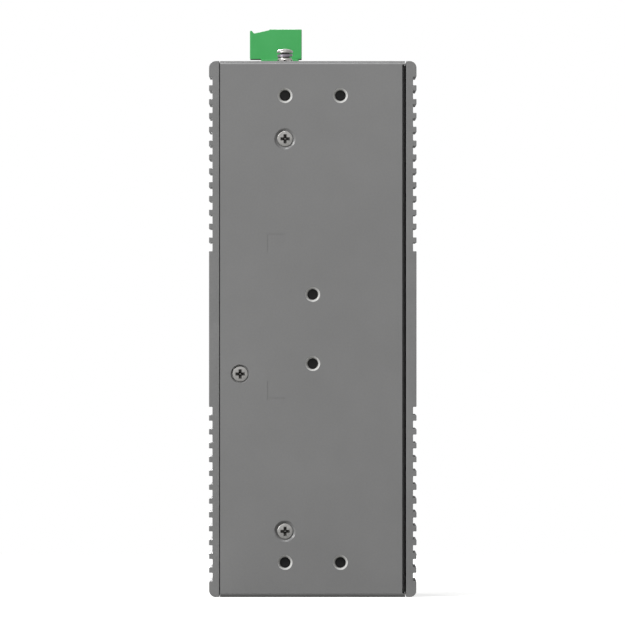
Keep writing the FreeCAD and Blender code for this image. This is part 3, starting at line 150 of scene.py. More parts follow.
finishes = {
    # powder coat on sheet steel: an even mid grey, faintly pebbled, with a soft sheen along the bends
    "powderCoat": {
        "dark": "#6f6f6f", "light": "#757575", "rough": (0.29, 0.36),
        "blotchMm": 22, "grainMm": 0.55, "reliefMm": 0.004,
    },
    # the same coat on extruded aluminium: very slightly rougher, drawn out along the extrusion
    "coatedExtrusion": {
        "dark": "#6c6c6c", "light": "#757575", "rough": (0.42, 0.52),
        "blotchMm": 12, "grainMm": 0.6, "reliefMm": 0.008, "stretch": (1, 0.35, 1),
    },
    # dull zinc plate on steel screws: satin, a little cloudy
    "dullZinc": {
        "dark": "#8f8e8c", "light": "#a6a5a3", "rough": (0.36, 0.5),
        "blotchMm": 1.6, "grainMm": 0.18, "reliefMm": 0.002, "metallic": 1.0,
    },
    # bright zinc plate on bent steel: pale, with crystal clouds and rolling lines
    "brightZinc": {
        "dark": "#b1b2ae", "light": "#cfd0cd", "rough": (0.24, 0.38),
        "blotchMm": 3.5, "grainMm": 0.4, "reliefMm": 0.002, "metallic": 1.0, "stretch": (1, 1, 0.3),
    },
    # satin nickel plate on turned and rolled parts: bright, slightly warm
    "nickelPlate": {
        "dark": "#b5b2ad", "light": "#cfccc7", "rough": (0.18, 0.28),
        "blotchMm": 2.5, "grainMm": 0.2, "reliefMm": 0.0015, "metallic": 1.0,
    },
    # zinc flake coat on the cut mouths of the holes: matt and silvery, catches light like pale paint
    "zincFlake": {
        "dark": "#b0b0ae", "light": "#c2c2c0", "rough": (0.4, 0.55),
        "blotchMm": 0.9, "grainMm": 0.15, "reliefMm": 0.004,
    },
    # plain turned stainless steel: mid grey and satin, with faint rings from the tool
    "turnedStainless": {
        "dark": "#83817f", "light": "#a19f9c", "rough": (0.34, 0.46),
        "blotchMm": 1.4, "grainMm": 0.16, "reliefMm": 0.002, "metallic": 1.0, "stretch": (0.3, 0.3, 1),
    },
    # tempered spring steel: darker and a little violet from the heat, dull
    "springSteel": {
        "dark": "#79747a", "light": "#928d94", "rough": (0.34, 0.48),
        "blotchMm": 0.8, "grainMm": 0.14, "reliefMm": 0.002, "metallic": 1.0,
    },
    # moulded polyamide: saturated green, a fine spark eroded skin
    "greenPolyamide": {
        "dark": "#3a9e52", "light": "#42a45a", "rough": (0.44, 0.56),
        "blotchMm": 9, "grainMm": 0.35, "reliefMm": 0.006,
    },
    # moulded black polyester: matt, with a fine erosion grain
    "blackPolyester": {
        "dark": "#131314", "light": "#1d1d1f", "rough": (0.48, 0.62),
        "blotchMm": 6, "grainMm": 0.3, "reliefMm": 0.008,
    },
    # tin plated sheet, drawn: pale and soft, with lines along the draw
    "tinPlate": {
        "dark": "#bcbcb9", "light": "#d6d6d3", "rough": (0.26, 0.4),
        "blotchMm": 4, "grainMm": 0.25, "reliefMm": 0.002, "metallic": 1.0, "stretch": (1, 0.15, 1),
    },
    # gold flash over nickel on spring wire: warm and bright
    "goldFlash": {
        "dark": "#d9a441", "light": "#edc266", "rough": (0.16, 0.26),
        "blotchMm": 1.2, "grainMm": 0.15, "reliefMm": 0.001, "metallic": 1.0,
    },
    # polished clear polycarbonate: glassy, faintly milky
    "clearPolycarbonate": {
        "dark": "#dfe5e2", "light": "#eef2f0", "rough": (0.08, 0.16),
        "blotchMm": 5, "grainMm": 0.8, "reliefMm": 0.001,
        "sockets": {"Transmission Weight": 0.75, "IOR": 1.58},
    },
    # moulded epoxy of a chip: near black and matt
    "epoxyResin": {
        "dark": "#161617", "light": "#222224", "rough": (0.5, 0.66),
        "blotchMm": 4, "grainMm": 0.2, "reliefMm": 0.006,
    },
    # milled aluminium: pale, with the cutter's lines
    "milledAluminium": {
        "dark": "#bdbec0", "light": "#d7d8da", "rough": (0.28, 0.42),
        "blotchMm": 2, "grainMm": 0.3, "reliefMm": 0.004, "metallic": 1.0, "stretch": (1, 0.1, 1),
    },
    # filled silicone pad: soft, dusty and even
    "siliconePad": {
        "dark": "#848a93", "light": "#9299a2", "rough": (0.8, 0.92),
        "blotchMm": 3, "grainMm": 0.4, "reliefMm": 0.02,
    },
    # conductive foam: dark, open and dull; the bead in the case's seam step uses it as painted shade
    "conductiveFoam": {
        "dark": "#161616", "light": "#3a3a3a", "rough": (0.85, 0.96),
        "blotchMm": 1.2, "grainMm": 0.4, "reliefMm": 0.12, "grainShare": 0.7,
    },
    # pressed ferrite: a dull dark ceramic
    "pressedFerrite": {
        "dark": "#26262a", "light": "#34343a", "rough": (0.6, 0.75),
        "blotchMm": 2, "grainMm": 0.25, "reliefMm": 0.015,
    },
    # shrink sleeve on a can: glossy and dark blue
    "shrinkSleeve": {
        "dark": "#151a2c", "light": "#1e2540", "rough": (0.2, 0.32),
        "blotchMm": 8, "grainMm": 0.9, "reliefMm": 0.006,
    },
    # polyester winding tape: glossy yellow over the layers below
    "windingTape": {
        "dark": "#bd9a1c", "light": "#d0ac2c", "rough": (0.25, 0.4),
        "blotchMm": 7, "grainMm": 1.1, "reliefMm": 0.02,
    },
    # sealed plastic relay case: semi-gloss blue
    "relayCase": {
        "dark": "#1c4379", "light": "#254f89", "rough": (0.3, 0.42),
        "blotchMm": 6, "grainMm": 0.4, "reliefMm": 0.005,
    },
    # glazed ceramic: nearly white and smooth
    "glazedCeramic": {
        "dark": "#d8d5ca", "light": "#e6e3d9", "rough": (0.16, 0.26),
        "blotchMm": 3, "grainMm": 0.6, "reliefMm": 0.003,
    },
    # enamelled copper wire: dark amber metal under a clear skin
    "enamelledCopper": {
        "dark": "#a9562c", "light": "#c46f3c", "rough": (0.2, 0.32),
        "blotchMm": 2, "grainMm": 0.3, "reliefMm": 0.002,
        "metallic": 1.0, "sockets": {"Coat Weight": 0.6, "Coat Roughness": 0.12},
    },
    # diffusing resin of a lamp: milky, slightly warm
    "diffusingResin": {
        "dark": "#dedaca", "light": "#ece9dc", "rough": (0.3, 0.45),
        "blotchMm": 1.5, "grainMm": 0.3, "reliefMm": 0.003,
        "sockets": {"Subsurface Weight": 0.3, "Subsurface Scale": 0.001},
    },
}
materials = {name: grainedFinish(name, {**finishBase, **look}) for name, look in finishes.items()}


def solderResist(look):
    # green resist over glass laminate: glossy, with straight tracks that show slightly lighter and raised
    material, tree = emptyMaterial("solderResist")
    place = addNode(tree, "ShaderNodeTexCoord", {}, {})
    tracks = addNode(
        tree,
        "ShaderNodeTexBrick",
        {
            "offset": look["shift"],
            "Scale": toMm / look["trackPitchMm"],
            "Mortar Size": look["trackWide"],
            "Mortar Smooth": look["trackSoft"],
            "Brick Width": look["runLong"],
            "Row Height": look["rowHigh"],
            "Color1": linearColour(look["resist"]),
            "Color2": linearColour(look["resistDeep"]),
            "Mortar": linearColour(look["overCopper"]),
        },
        {"Vector": place.outputs["Object"]},
    )
    relief = addNode(
        tree,
        "ShaderNodeBump",
        {"Strength": 1.0, "Distance": look["trackHighMm"] * mm},
        {"Height": tracks.outputs["Fac"]},
    )
    surface = addNode(
        tree,
        "ShaderNodeBsdfPrincipled",
        {"Roughness": look["rough"], "Coat Weight": look["coat"], "Coat Roughness": look["coatRough"]},
        {"Base Color": tracks.outputs["Color"], "Normal": relief.outputs["Normal"]},
    )
    addNode(tree, "ShaderNodeOutputMaterial", {}, {"Surface": surface.outputs["BSDF"]})
    return material


materials["solderResist"] = solderResist(
    {
        "resist": "#0d5230", "resistDeep": "#0a4226", "overCopper": "#1b7045",
        "trackPitchMm": 1.6, "trackHighMm": 0.03, "trackWide": 0.06, "trackSoft": 0.1,
        "shift": 0.37, "runLong": 7.0, "rowHigh": 0.5, "rough": 0.32, "coat": 0.4, "coatRough": 0.1,
    }
)
print("finishes made:", len(materials))


# how meshes are welded, flattened, eased and shaded, in mm and degrees
meshLook = {
    "weld": 0.002, "fineWeld": 0.0005, "flat": 0.4, "sharp": 35, "evenWeight": 90,
    "easedSmooth": 50, "spareFace": 1.1, "upright": 0.2, "segments": 64,
}


def pieceFrom(shape, name, finish, body, nodes=(), smoothUnder=meshLook["sharp"], flatFaces=False):
    bmesh.ops.recalc_face_normals(shape, faces=shape.faces)
    bmesh.ops.scale(shape, vec=(mm, mm, mm), verts=shape.verts)
    mesh = bpy.data.meshes.new(name)
    shape.to_mesh(mesh)
    shape.free()
    mesh.shade_smooth()
    mesh.set_sharp_from_angle(angle=math.radians(smoothUnder))
    mesh.materials.append(materials[finish])
    piece = bpy.data.objects.new(name, mesh)
    bpy.context.scene.collection.objects.link(piece)
    if flatFaces:
        even = piece.modifiers.new("evenNormals", "WEIGHTED_NORMAL")
        even.weight = meshLook["evenWeight"]
        even.keep_sharp = True
    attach(piece, body)
    if nodes:
        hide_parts(*nodes)


def turnInto(shape, profile, matrix, segments=meshLook["segments"]):
    # adds a turned shape about +Z; profile is (radius, height), and a radius of 0 closes an end
    rings = []
    for radius, height in profile:
        steps = 1 if radius == 0 else segments
        ring = []
        for step in range(steps):
            turn = 2 * math.pi * step / segments
            point = Vector((radius * math.cos(turn), radius * math.sin(turn), height))
            ring.append(shape.verts.new(matrix @ point))
        rings.append(ring)
    for first, second in zip(rings, rings[1:]):
        for step in range(segments):
            after = (step + 1) % segments
            if len(first) == 1:
                shape.faces.new((first[0], second[step], second[after]))
            elif len(second) == 1:
                shape.faces.new((first[step], second[0], first[after]))
            else:
                shape.faces.new((first[step], second[step], second[after], first[after]))


def standing(place, direction):
    # a matrix that turns +Z to a direction and moves to a place in mm
    return Matrix.Translation(place) @ Vector(direction).to_track_quat("Z", "Y").to_matrix().to_4x4()


def sweepInto(shape, points, outline, closed=False):
    # carries a small outline of (side, up) offsets along points; side is across the path
    rings = []
    count = len(points)
    for index, point in enumerate(points):
        before = points[index - 1] if closed or index > 0 else point
        after = points[(index + 1) % count] if closed or index < count - 1 else point
        along = (after - before).normalized()
        side = along.cross(Vector((0, 0, 1)))
        # a path that runs nearly upright
        if side.length < meshLook["upright"]:
            side = along.cross(Vector((0, 1, 0)))
        side.normalize()
        up = side.cross(along)
        rings.append([shape.verts.new(point + side * a + up * b) for a, b in outline])
    pairs = list(zip(rings, rings[1:]))
    if closed:
        pairs.append((rings[-1], rings[0]))
    size = len(outline)
    for first, second in pairs:
        for step in range(size):
            after = (step + 1) % size
            shape.faces.new((first[step], first[after], second[after], second[step]))
    if not closed:
        shape.faces.new(rings[0])
        shape.faces.new(rings[-1][::-1])


def loftInto(shape, outlines, matrix):
    # joins outlines of the same count of points, one above the other, and closes both ends
    rings = [[shape.verts.new(matrix @ Vector(point)) for point in outline] for outline in outlines]
    for first, second in zip(rings, rings[1:]):
        for step in range(len(first)):
            after = (step + 1) % len(first)
            shape.faces.new((first[step], first[after], second[after], second[step]))
    shape.faces.new(rings[0][::-1])
    shape.faces.new(rings[-1])


def slabInto(shape, halfLong, halfWide, low, high, matrix):
    corners = [(-halfLong, -halfWide), (halfLong, -halfWide), (halfLong, halfWide), (-halfLong, halfWide)]
    loftInto(shape, [[(x, y, height) for x, y in corners] for height in (low, high)], matrix)


def carve(shape, cutters):
    # takes the cutters' volume out of the shape and gives the result back, all in mm
    temporary = []
    for source in (shape, cutters):
        bmesh.ops.recalc_face_normals(source, faces=source.faces)
        mesh = bpy.data.meshes.new("carving")
        source.to_mesh(mesh)
        source.free()
        item = bpy.data.objects.new("carving", mesh)
        bpy.context.scene.collection.objects.link(item)
        temporary.append(item)
    cut = temporary[0].modifiers.new("cut", "BOOLEAN")
    cut.operation = "DIFFERENCE"
    cut.solver = "EXACT"
    cut.object = temporary[1]
    bpy.context.view_layer.update()
    ready = temporary[0].evaluated_get(bpy.context.evaluated_depsgraph_get())
    result = bmesh.new()
    result.from_mesh(ready.to_mesh())
    ready.to_mesh_clear()
    for item in temporary:
        mesh = item.data
        bpy.data.objects.remove(item)
        bpy.data.meshes.remove(mesh)
    return result


def flatten(shape):
    flat = math.radians(meshLook["flat"])
    bmesh.ops.dissolve_limit(shape, angle_limit=flat, verts=shape.verts, edges=shape.edges)


def cadShape(node):
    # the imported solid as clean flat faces, in mm
    shape = bmesh.new()
    shape.from_mesh(frame["nodes"][node].data)
    bmesh.ops.scale(shape, vec=(toMm, toMm, toMm), verts=shape.verts)
    bmesh.ops.remove_doubles(shape, verts=shape.verts, dist=meshLook["weld"])
    flatten(shape)
    return shape


def easeEdges(shape, width, shortest):
    # rounds the sharp edges, apart from those of steps too shallow to carry the rounding
    corners = []
    for edge in shape.edges:
        length = edge.calc_length()
        if not edge.is_manifold or length < shortest:
            continue
        if edge.calc_face_angle() <= math.radians(meshLook["sharp"]):
            continue
        if all(face.calc_area() > meshLook["spareFace"] * width * length for face in edge.link_faces):
            corners.append(edge)
    bmesh.ops.bevel(
        shape, geom=corners, offset=width, offset_type="OFFSET", segments=2, profile=0.5, affect="EDGES",
        clamp_overlap=False,
    )


# cross recessed screws: the recess, and the rounded rim and low dome of a head
screwLook = {
    "recessSpan": 2.7, "recessArm": 0.9, "recessDepth": 2.4, "recessFoot": 0.12, "recessMouth": 0.3,
    "recessOver": 0.15, "armKeep": 0.55, "armGrow": 0.45,
    "headRound": 0.28, "roundSteps": 6, "dome": 0.1, "domeShares": (0.75, 0.5, 0.25),
}


def crossCutter(cutters, matrix, look):
    # a four winged recess that narrows to its foot
    arms = []
    levels = (-look["recessDepth"], -look["recessMouth"], look["recessOver"])
    for size, height in zip((look["recessFoot"], 1.0, 1.0), levels):
        far = look["recessSpan"] / 2 * size
        near = look["recessArm"] / 2 * (look["armKeep"] + look["armGrow"] * size)
        ring = []
        for a, b in ((1, 1), (-1, 1), (-1, -1), (1, -1)):
            arm = [(a * far, b * near), (a * near, b * near), (a * near, b * far)]
            ring += arm if a == b else arm[::-1]
        arms.append([(x, y, height) for x, y in ring])
    loftInto(cutters, arms, matrix)


def headRound(radius, look, top=0.0):
    # a rounded rim and a slightly domed top, from the rim in to the axis
    corner = look["headRound"]
    foot = top - look["dome"] - corner
    profile = []
    for step in range(look["roundSteps"] + 1):
        turn = math.pi / 2 * step / look["roundSteps"]
        profile.append((radius - corner + corner * math.cos(turn), foot + corner * math.sin(turn)))
    for share in look["domeShares"]:
        profile.append((share * (radius - corner), top - look["dome"] * share**2))
    return profile + [(0, top)]


def shankFoot(look):
    # the chamfered end of a shank, from the axis out
    shank, length, chamfer = look["shank"], look["length"], look["chamfer"]
    return [(0, -length), (shank - chamfer, -length), (shank, -length + chamfer)]


def crossScrews(name, places, profile, node):
    heads = bmesh.new()
    cutters = bmesh.new()
    for place, direction in places:
        matrix = standing(place, direction)
        turnInto(heads, profile, matrix)
        crossCutter(cutters, matrix, screwLook)
    pieceFrom(carve(heads, cutters), name, "dullZinc", "case", [node])


# the heads lie a little below the back, so that the dimple's rim throws a shadow on its far side
backScrewLook = {
    "headRadius": 2.3, "headHigh": 0.75, "underEase": 0.08, "sunk": 0.22,
    "shank": 1.45, "length": 4.0, "chamfer": 0.25,
}


def backScrewProfile(look):
    under = [(look["shank"], -look["headHigh"]), (look["headRadius"] - look["underEase"], -look["headHigh"])]
    return shankFoot(look) + under + headRound(look["headRadius"], screwLook, -look["sunk"])


def screwCentres(node, axis):
    # the upper end of each separate solid of a node along an axis, centred across it, in mm
    shape = cadShape(node)
    seen = set()
    centres = []
    for start in shape.verts:
        if start in seen:
            continue
        group = []
        waiting = [start]
        seen.add(start)
        while waiting:
            vert = waiting.pop()
            group.append(vert.co.copy())
            for edge in vert.link_edges:
                other = edge.other_vert(vert)
                if other not in seen:
                    seen.add(other)
                    waiting.append(other)
        low = [min(co[side] for co in group) for side in range(3)]
        high = [max(co[side] for co in group) for side in range(3)]
        centre = [(a + b) / 2 for a, b in zip(low, high)]
        centre[axis] = high[axis]
        centres.append(Vector(centre))
    shape.free()
    return centres


for node, name in (("board_bracket_screws", "bracketScrews"), ("side_bracket_screw", "sideBracketScrew")):
    places = [(centre, (0, 1, 0)) for centre in screwCentres(node, 1)]
    crossScrews(name, places, backScrewProfile(backScrewLook), node)

flushScrewLook = {
    "headRadius": 2.5, "edgeIn": 0.02, "edgeDeep": 0.05, "rim": 0.12,
    "shank": 1.45, "length": 5.5, "chamfer": 0.25,
}


def flushScrewProfile(look):
    head = look["headRadius"]
    cone = [(look["shank"], look["shank"] - head), (head - look["edgeIn"], -look["edgeDeep"])]
    return shankFoot(look) + cone + [(head - look["rim"], 0), (head / 2, 0), (0, 0)]


places = [(centre, (1, 0, 0)) for centre in screwCentres("right_side_screws", 0)]
crossScrews("plateScrews", places, flushScrewProfile(flushScrewLook), "right_side_screws")
print("screws made")

# folded case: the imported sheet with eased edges, and sinks near the front for four screws that hold the panel
caseLook = {
    "edge": 0.1, "shortest": 0.9, "smooth": 32, "segments": 48, "over": 0.2,
    "panelScrewX": 14.0, "panelScrewY": -46.4, "panelScrewLong": 3.0,
    "sinkRadius": 2.6, "bore": 1.6, "boreDeep": 1.5,
    "markX": 13.1, "markWide": 0.6, "markLeg": 5.3, "markDeep": 0.08, "markOver": 0.3,
    "markCorners": ((105.0, -1), (57.0, 1)),
    "holeX": 8, "holeFromEnd": 10, "holeFromMiddle": 10, "seatRadius": 2.14, "seatDeep": 0.75,
    "seamWide": 0.45, "seamDeep": 9.0, "seamEnd": 1.0, "seamOut": 60, "stepWide": 0.6, "stepDeep": 0.8,
    # half outline of the bead: (share of the step's half width, height)
    "bead": ((1.0, 0.0), (1.0, 0.3), (0.6, 0.42)), "beadShare": 0.97, "beadEnd": 1.35, "beadLift": 0.01,
    "beadSmooth": 60,
}


def highest(node, axis):
    return getattr(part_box(node)[1], axis) * toMm


def panelScrewPlaces(look):
    top = highest("finned_side_left", "z")
    found = []
    for x in (-look["panelScrewX"], look["panelScrewX"]):
        found.append((Vector((x, look["panelScrewY"], top)), (0, 0, 1)))
        found.append((Vector((x, look["panelScrewY"], 0)), (0, 0, -1)))
    return found


def mouthPlaces(look):
    # the six tapped holes of the back
    back = highest("chassis", "y")
    top = highest("finned_side_left", "z")
    end, middle = look["holeFromEnd"], look["holeFromMiddle"]
    places = [(x, z) for x in (-look["holeX"], look["holeX"]) for z in (end, top - end)]
    places += [(0, top / 2 - middle), (0, top / 2 + middle)]
    return [Vector((x, back, z)) for x, z in places]


def cutSeats(cutters, look):
    radius, deep, over = look["seatRadius"], look["seatDeep"], look["over"]
    for place in mouthPlaces(look):
        seat = [(0, -deep), (radius, -deep), (radius, over), (0, over)]
        turnInto(cutters, seat, standing(place, (0, 1, 0)), look["segments"])


def cutSeam(cutters, look):
    # the back stops short of the left plate: an open seam beside the plate, then a shallow step
    inner = highest("finned_side_left", "x")
    back = highest("chassis", "y")
    top = highest("finned_side_left", "z")
    seam, near = inner + look["seamWide"], inner - look["over"]
    foot, step = back - look["seamDeep"], back - look["stepDeep"]
    corners = [(near, foot), (seam, foot), (seam, step), (seam + look["stepWide"], step)]
    corners += [(seam + look["stepWide"], look["seamOut"]), (near, look["seamOut"])]
    levels = (look["seamEnd"], top - look["seamEnd"])
    loftInto(cutters, [[(x, y, z) for x, y in corners] for z in levels], Matrix.Identity(4))


def cutMarks(cutters, look):
    # the faint corner marks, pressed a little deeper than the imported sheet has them
    back = highest("chassis", "y")
    wide, leg = look["markWide"], look["markLeg"]
    levels = (back - look["markDeep"], back + look["markOver"])
    for z, down in look["markCorners"]:
        mark = [(0, 0), (0, leg), (-wide, leg), (-wide, wide), (-leg, wide), (-leg, 0)]
        outline = [(look["markX"] + x, z + down * rise) for x, rise in mark]
        loftInto(cutters, [[(x, y, level) for x, level in outline] for y in levels], Matrix.Identity(4))


def cutSinks(cutters, look):
    bore, deep, over = look["bore"], look["boreDeep"], look["over"]
    sink = look["sinkRadius"] - bore
    profile = [(0, -deep), (bore, -deep), (bore, -sink), (look["sinkRadius"] + over, over), (0, over)]
    for place, direction in panelScrewPlaces(look):
        turnInto(cutters, profile, standing(place, direction), look["segments"])


def makeSeamShadeBead(look):
    # a dark foam bead that lies in the shallow step: painted shade, standing in for the shade that falls in the
    # seam beside the left plate
    shadeBead = bmesh.new()
    half = look["stepWide"] / 2
    right = [(half * share * look["beadShare"], height) for share, height in look["bead"]]
    bead = [(-x, y) for x, y in right[:1]] + right + [(-x, y) for x, y in right[:0:-1]]
    middle = highest("finned_side_left", "x") + look["seamWide"] + half
    level = highest("chassis", "y") - look["stepDeep"] + look["beadLift"]
    levels = (look["beadEnd"], highest("finned_side_left", "z") - look["beadEnd"])
    seat = Matrix.Translation((middle, level, 0))
    loftInto(shadeBead, [[(x, y, z) for x, y in bead] for z in levels], seat)
    pieceFrom(
        shadeBead, "seamGasket", "conductiveFoam", "case", (), look["beadSmooth"]
    )


def makeCase(look):
    cutters = bmesh.new()
    for cut in (cutSeats, cutSeam, cutMarks, cutSinks):
        cut(cutters, look)
    shape = carve(cadShape("chassis"), cutters)
    flatten(shape)
    easeEdges(shape, look["edge"], look["shortest"])
    pieceFrom(
        shape, "foldedCase", "powderCoat", "case", ["chassis"], look["smooth"], True
    )
    # the dark bead in the seam step is painted shade
    makeSeamShadeBead(look)
    profile = flushScrewProfile({**flushScrewLook, "length": look["panelScrewLong"]})
    heads = bmesh.new()
    crosses = bmesh.new()
    for place, direction in panelScrewPlaces(look):
        matrix = standing(place, direction)
        turnInto(heads, profile, matrix)
        crossCutter(crosses, matrix, screwLook)
    pieceFrom(carve(heads, crosses), "panelScrews", "dullZinc", "case")


makeCase(caseLook)

# the six holes of the back: a steep coated mouth, a thread below it, and a closed black end behind, painted
# shade that stands in for the dark inside of the case
mouthLook = {
    "cone": ((2.13, 0.0), (2.08, -0.03), (1.58, -0.72), (1.58, -0.75), (2.13, -0.75)), "rimSmooth": 60,
    "radius": 1.65, "crest": 0.14, "buried": 0.02, "flank": 0.45, "pitch": 0.7, "start": -0.95,
    "turns": 1.9, "steps": 32, "segments": 32,
    "end": ((0.0, -3.5), (2.3, -3.5), (2.5, -3.3), (2.5, -2.62), (1.7, -2.62), (1.7, -3.1), (0.0, -3.25)),
}


def threadRings(look):
    # the three cornered ridge of the thread, as outlines along its turns
    ridge = ((look["buried"], look["flank"]), (-look["crest"], 0), (look["buried"], -look["flank"]))
    rings = []
    for step in range(int(look["turns"] * look["steps"]) + 1):
        turn = 2 * math.pi * step / look["steps"]
        height = look["start"] - look["pitch"] * step / look["steps"]
        ring = []
        for reach, rise in ridge:
            radius = look["radius"] + reach
            ring.append((radius * math.cos(turn), radius * math.sin(turn), height + rise * look["pitch"]))
        rings.append(ring)
    return rings


def makeMouths(look):
    rims = bmesh.new()
    threads = bmesh.new()
    ends = bmesh.new()
    for place in mouthPlaces(caseLook):
        matrix = standing(place, (0, 1, 0))
        turnInto(rims, [*look["cone"], look["cone"][0]], matrix)
        turnInto(ends, look["end"], matrix, look["segments"])
        loftInto(threads, threadRings(look), matrix)
    bmesh.ops.remove_doubles(rims, verts=rims.verts, dist=meshLook["fineWeld"])
    pieceFrom(rims, "holeRims", "zincFlake", "case", (), look["rimSmooth"])
    pieceFrom(threads, "holeThreads", "dullZinc", "case")
    # the black closed ends are painted shade for the dark inside of the case
    pieceFrom(ends, "holeCaps", "blackPolyester", "case")


makeMouths(mouthLook)
print("case and holes made")

# ground screw on the top: a domed head, a split washer with its ends apart, and a flared cup washer
groundLook = {
    "x": 8.07, "y": 36.0, "top": 155.0,
    "shank": 1.45, "foot": -4.0, "footEase": 0.2, "crest": 0.14, "ridges": 14, "ridgeStart": -3.7,
    "ridgePitch": 0.42, "ridgeLow": 0.1, "ridgeHigh": 0.3,
    "headTop": 3.66, "headLow": 2.46, "headRadius": 2.33, "headSide": 0.4, "headEase": 0.1, "domeSteps": 9,
    "slotWide": 0.7, "slotDeep": 0.6, "slotReach": 1.5, "slotOver": 0.2, "slotTurn": 25,
    "springRadius": 2.2, "springInner": 1.62, "springThick": 0.84, "springRise": 0.52, "springEase": 0.1,
    "cutDegrees": 14, "springSteps": 56,
    "cupHigh": 1.05, "cupRadius": 2.5, "cupTop": 1.95, "cupSheet": 0.35, "cupSteps": 8, "cupFlare": 1.8,
    "cupDrop": 0.22, "boreClear": 0.12, "boreHigh": 0.25,
    "arches": 6, "archWide": 0.62, "archHigh": 0.5, "archLow": 0.02, "archSteps": 12, "archReach": (1.4, 3.2),
}


def makeGroundScrew(look, matrix):
    head = bmesh.new()
    low, radius, ease = look["headLow"], look["headRadius"], look["headEase"]
    shank, foot, chamfer = look["shank"], look["foot"], look["footEase"]
    profile = [(0, foot), (shank - chamfer, foot), (shank, foot + chamfer)]
    for ridge in range(look["ridges"]):
        # thread ridges as plain rings
        base = look["ridgeStart"] + ridge * look["ridgePitch"]
        profile += [(shank - look["crest"], base + look["ridgeLow"]), (shank, base + look["ridgeHigh"])]
    profile += [(shank - look["crest"], low), (radius - ease, low), (radius, low + ease)]
    dome = look["headTop"] - low - look["headSide"]
    for step in range(look["domeSteps"]):
        turn = math.pi / 2 * step / look["domeSteps"]
        profile.append((radius * math.cos(turn), low + look["headSide"] + dome * math.sin(turn)))
    turnInto(head, profile + [(0, look["headTop"])], matrix)
    cutters = bmesh.new()
    slabInto(
        cutters, look["slotReach"], look["slotWide"] / 2,
        look["headTop"] - look["slotDeep"], look["headTop"] + look["slotOver"],
        matrix @ Matrix.Rotation(math.radians(look["slotTurn"]), 4, "Z"),
    )
    node = "ground_screw"
    pieceFrom(carve(head, cutters), "groundScrew", "turnedStainless", "case", [node])


def makeSplitWasher(look, matrix):
    washer = bmesh.new()
    gap = math.radians(look["cutDegrees"])
    middle = (look["springRadius"] + look["springInner"]) / 2
    points = []
    for step in range(look["springSteps"] + 1):
        share = step / look["springSteps"]
        turn = math.pi / 2 + gap / 2 + (2 * math.pi - gap) * share
        height = look["cupHigh"] + look["springThick"] / 2 + look["springRise"] * share
        points.append(matrix @ Vector((middle * math.cos(turn), middle * math.sin(turn), height)))
    across = (look["springRadius"] - look["springInner"]) / 2
    up = look["springThick"] / 2
    ease = look["springEase"]
    outline = [
        (-across, -up + ease), (-across + ease, -up), (across - ease, -up), (across, -up + ease),
        (across, up - ease), (across - ease, up), (-across + ease, up), (-across, up - ease),
    ]
    sweepInto(washer, points, outline)
    node = "ground_spring_washer"
    pieceFrom(washer, "splitWasher", "springSteel", "case", [node])


def makeCupWasher(look, matrix):
    cup = bmesh.new()
    outer = []
    inner = []
    for step in range(look["cupSteps"] + 1):
        share = step / look["cupSteps"]
        # flares like a bell
        radius = look["cupTop"] + (look["cupRadius"] - look["cupTop"]) * (1 - share) ** look["cupFlare"]
        height = look["cupHigh"] * share
        outer.append((radius, height))
        inner.append((radius - look["cupSheet"], height - look["cupDrop"] * share))
    bore = look["shank"] + look["boreClear"]
    profile = outer + [(bore, look["cupHigh"]), (bore, look["cupHigh"] - look["boreHigh"])] + inner[-2::-1]
    turnInto(cup, profile + [profile[0]], matrix)
    bmesh.ops.remove_doubles(cup, verts=cup.verts, dist=meshLook["fineWeld"])
    cutters = bmesh.new()
    arch = []
    for step in range(look["archSteps"] + 1):
        turn = math.pi * step / look["archSteps"]
        arch.append((look["archWide"] * math.cos(turn), look["archHigh"] * math.sin(turn) - look["archLow"]))
    for number in range(look["arches"]):
        spin = matrix @ Matrix.Rotation(number * 2 * math.pi / look["arches"] + math.pi / 2, 4, "Z")
        loftInto(cutters, [[(reach, x, z) for x, z in arch] for reach in look["archReach"]], spin)
    node = "ground_cup_washer"
    pieceFrom(carve(cup, cutters), "cupWasher", "turnedStainless", "case", [node])


groundPlace = standing((groundLook["x"], groundLook["y"], groundLook["top"]), (0, 0, 1))
makeGroundScrew(groundLook, groundPlace)
makeSplitWasher(groundLook, groundPlace)
makeCupWasher(groundLook, groundPlace)
print("ground screw made")

# slotted clamp screws behind the square openings of the plug
clampScrewLook = {
    "radius": 1.75, "round": 0.15, "roundShare": 0.3, "neckIn": 0.45, "headLong": 1.9, "segments": 48,
    "slotWide": 0.5, "slotDeep": 0.75, "slotReach": 2.2, "slotOver": 0.3, "firstTurn": 20, "eachTurn": 37,
}


def makeClampScrews(look):
    low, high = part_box("plug_screws")
    length = (high.x - low.x) * toMm
    radius, rim, under = look["radius"], look["round"], look["headLong"]
    neck, corner = radius - look["neckIn"], rim * look["roundShare"]
    profile = [(0, -length), (neck, -length), (neck, -under), (radius, -under), (radius, -rim)]
    profile += [(radius - corner, -corner), (radius - rim, 0), (0, 0)]
    shape = bmesh.new()
    cutters = bmesh.new()
    for number, centre in enumerate(screwCentres("plug_screws", 0)):
        matrix = standing(centre, (1, 0, 0))
        turnInto(shape, profile, matrix, look["segments"])
        turn = math.radians(look["firstTurn"] + look["eachTurn"] * number)
        slabInto(
            cutters, look["slotReach"], look["slotWide"] / 2, -look["slotDeep"], look["slotOver"],
            matrix @ Matrix.Rotation(turn, 4, "Z"),
        )
    shape = carve(shape, cutters)
    pieceFrom(shape, "clampScrews", "brightZinc", "plug", ["plug_screws"])


makeClampScrews(clampScrewLook)

# eight bent spring wires in each jack
jackWireLook = {
    "pitch": 1.02, "count": 8, "wide": 0.42, "thick": 0.28, "strip": 2.2, "jackPitch": 14.0, "jacksInRow": 4,
    "path": ((-0.2, 0.1), (0.14, 0.25), (0.32, 0.75), (2.02, 7.5), (2.2, 8.3), (2.2, 10.8)),
}


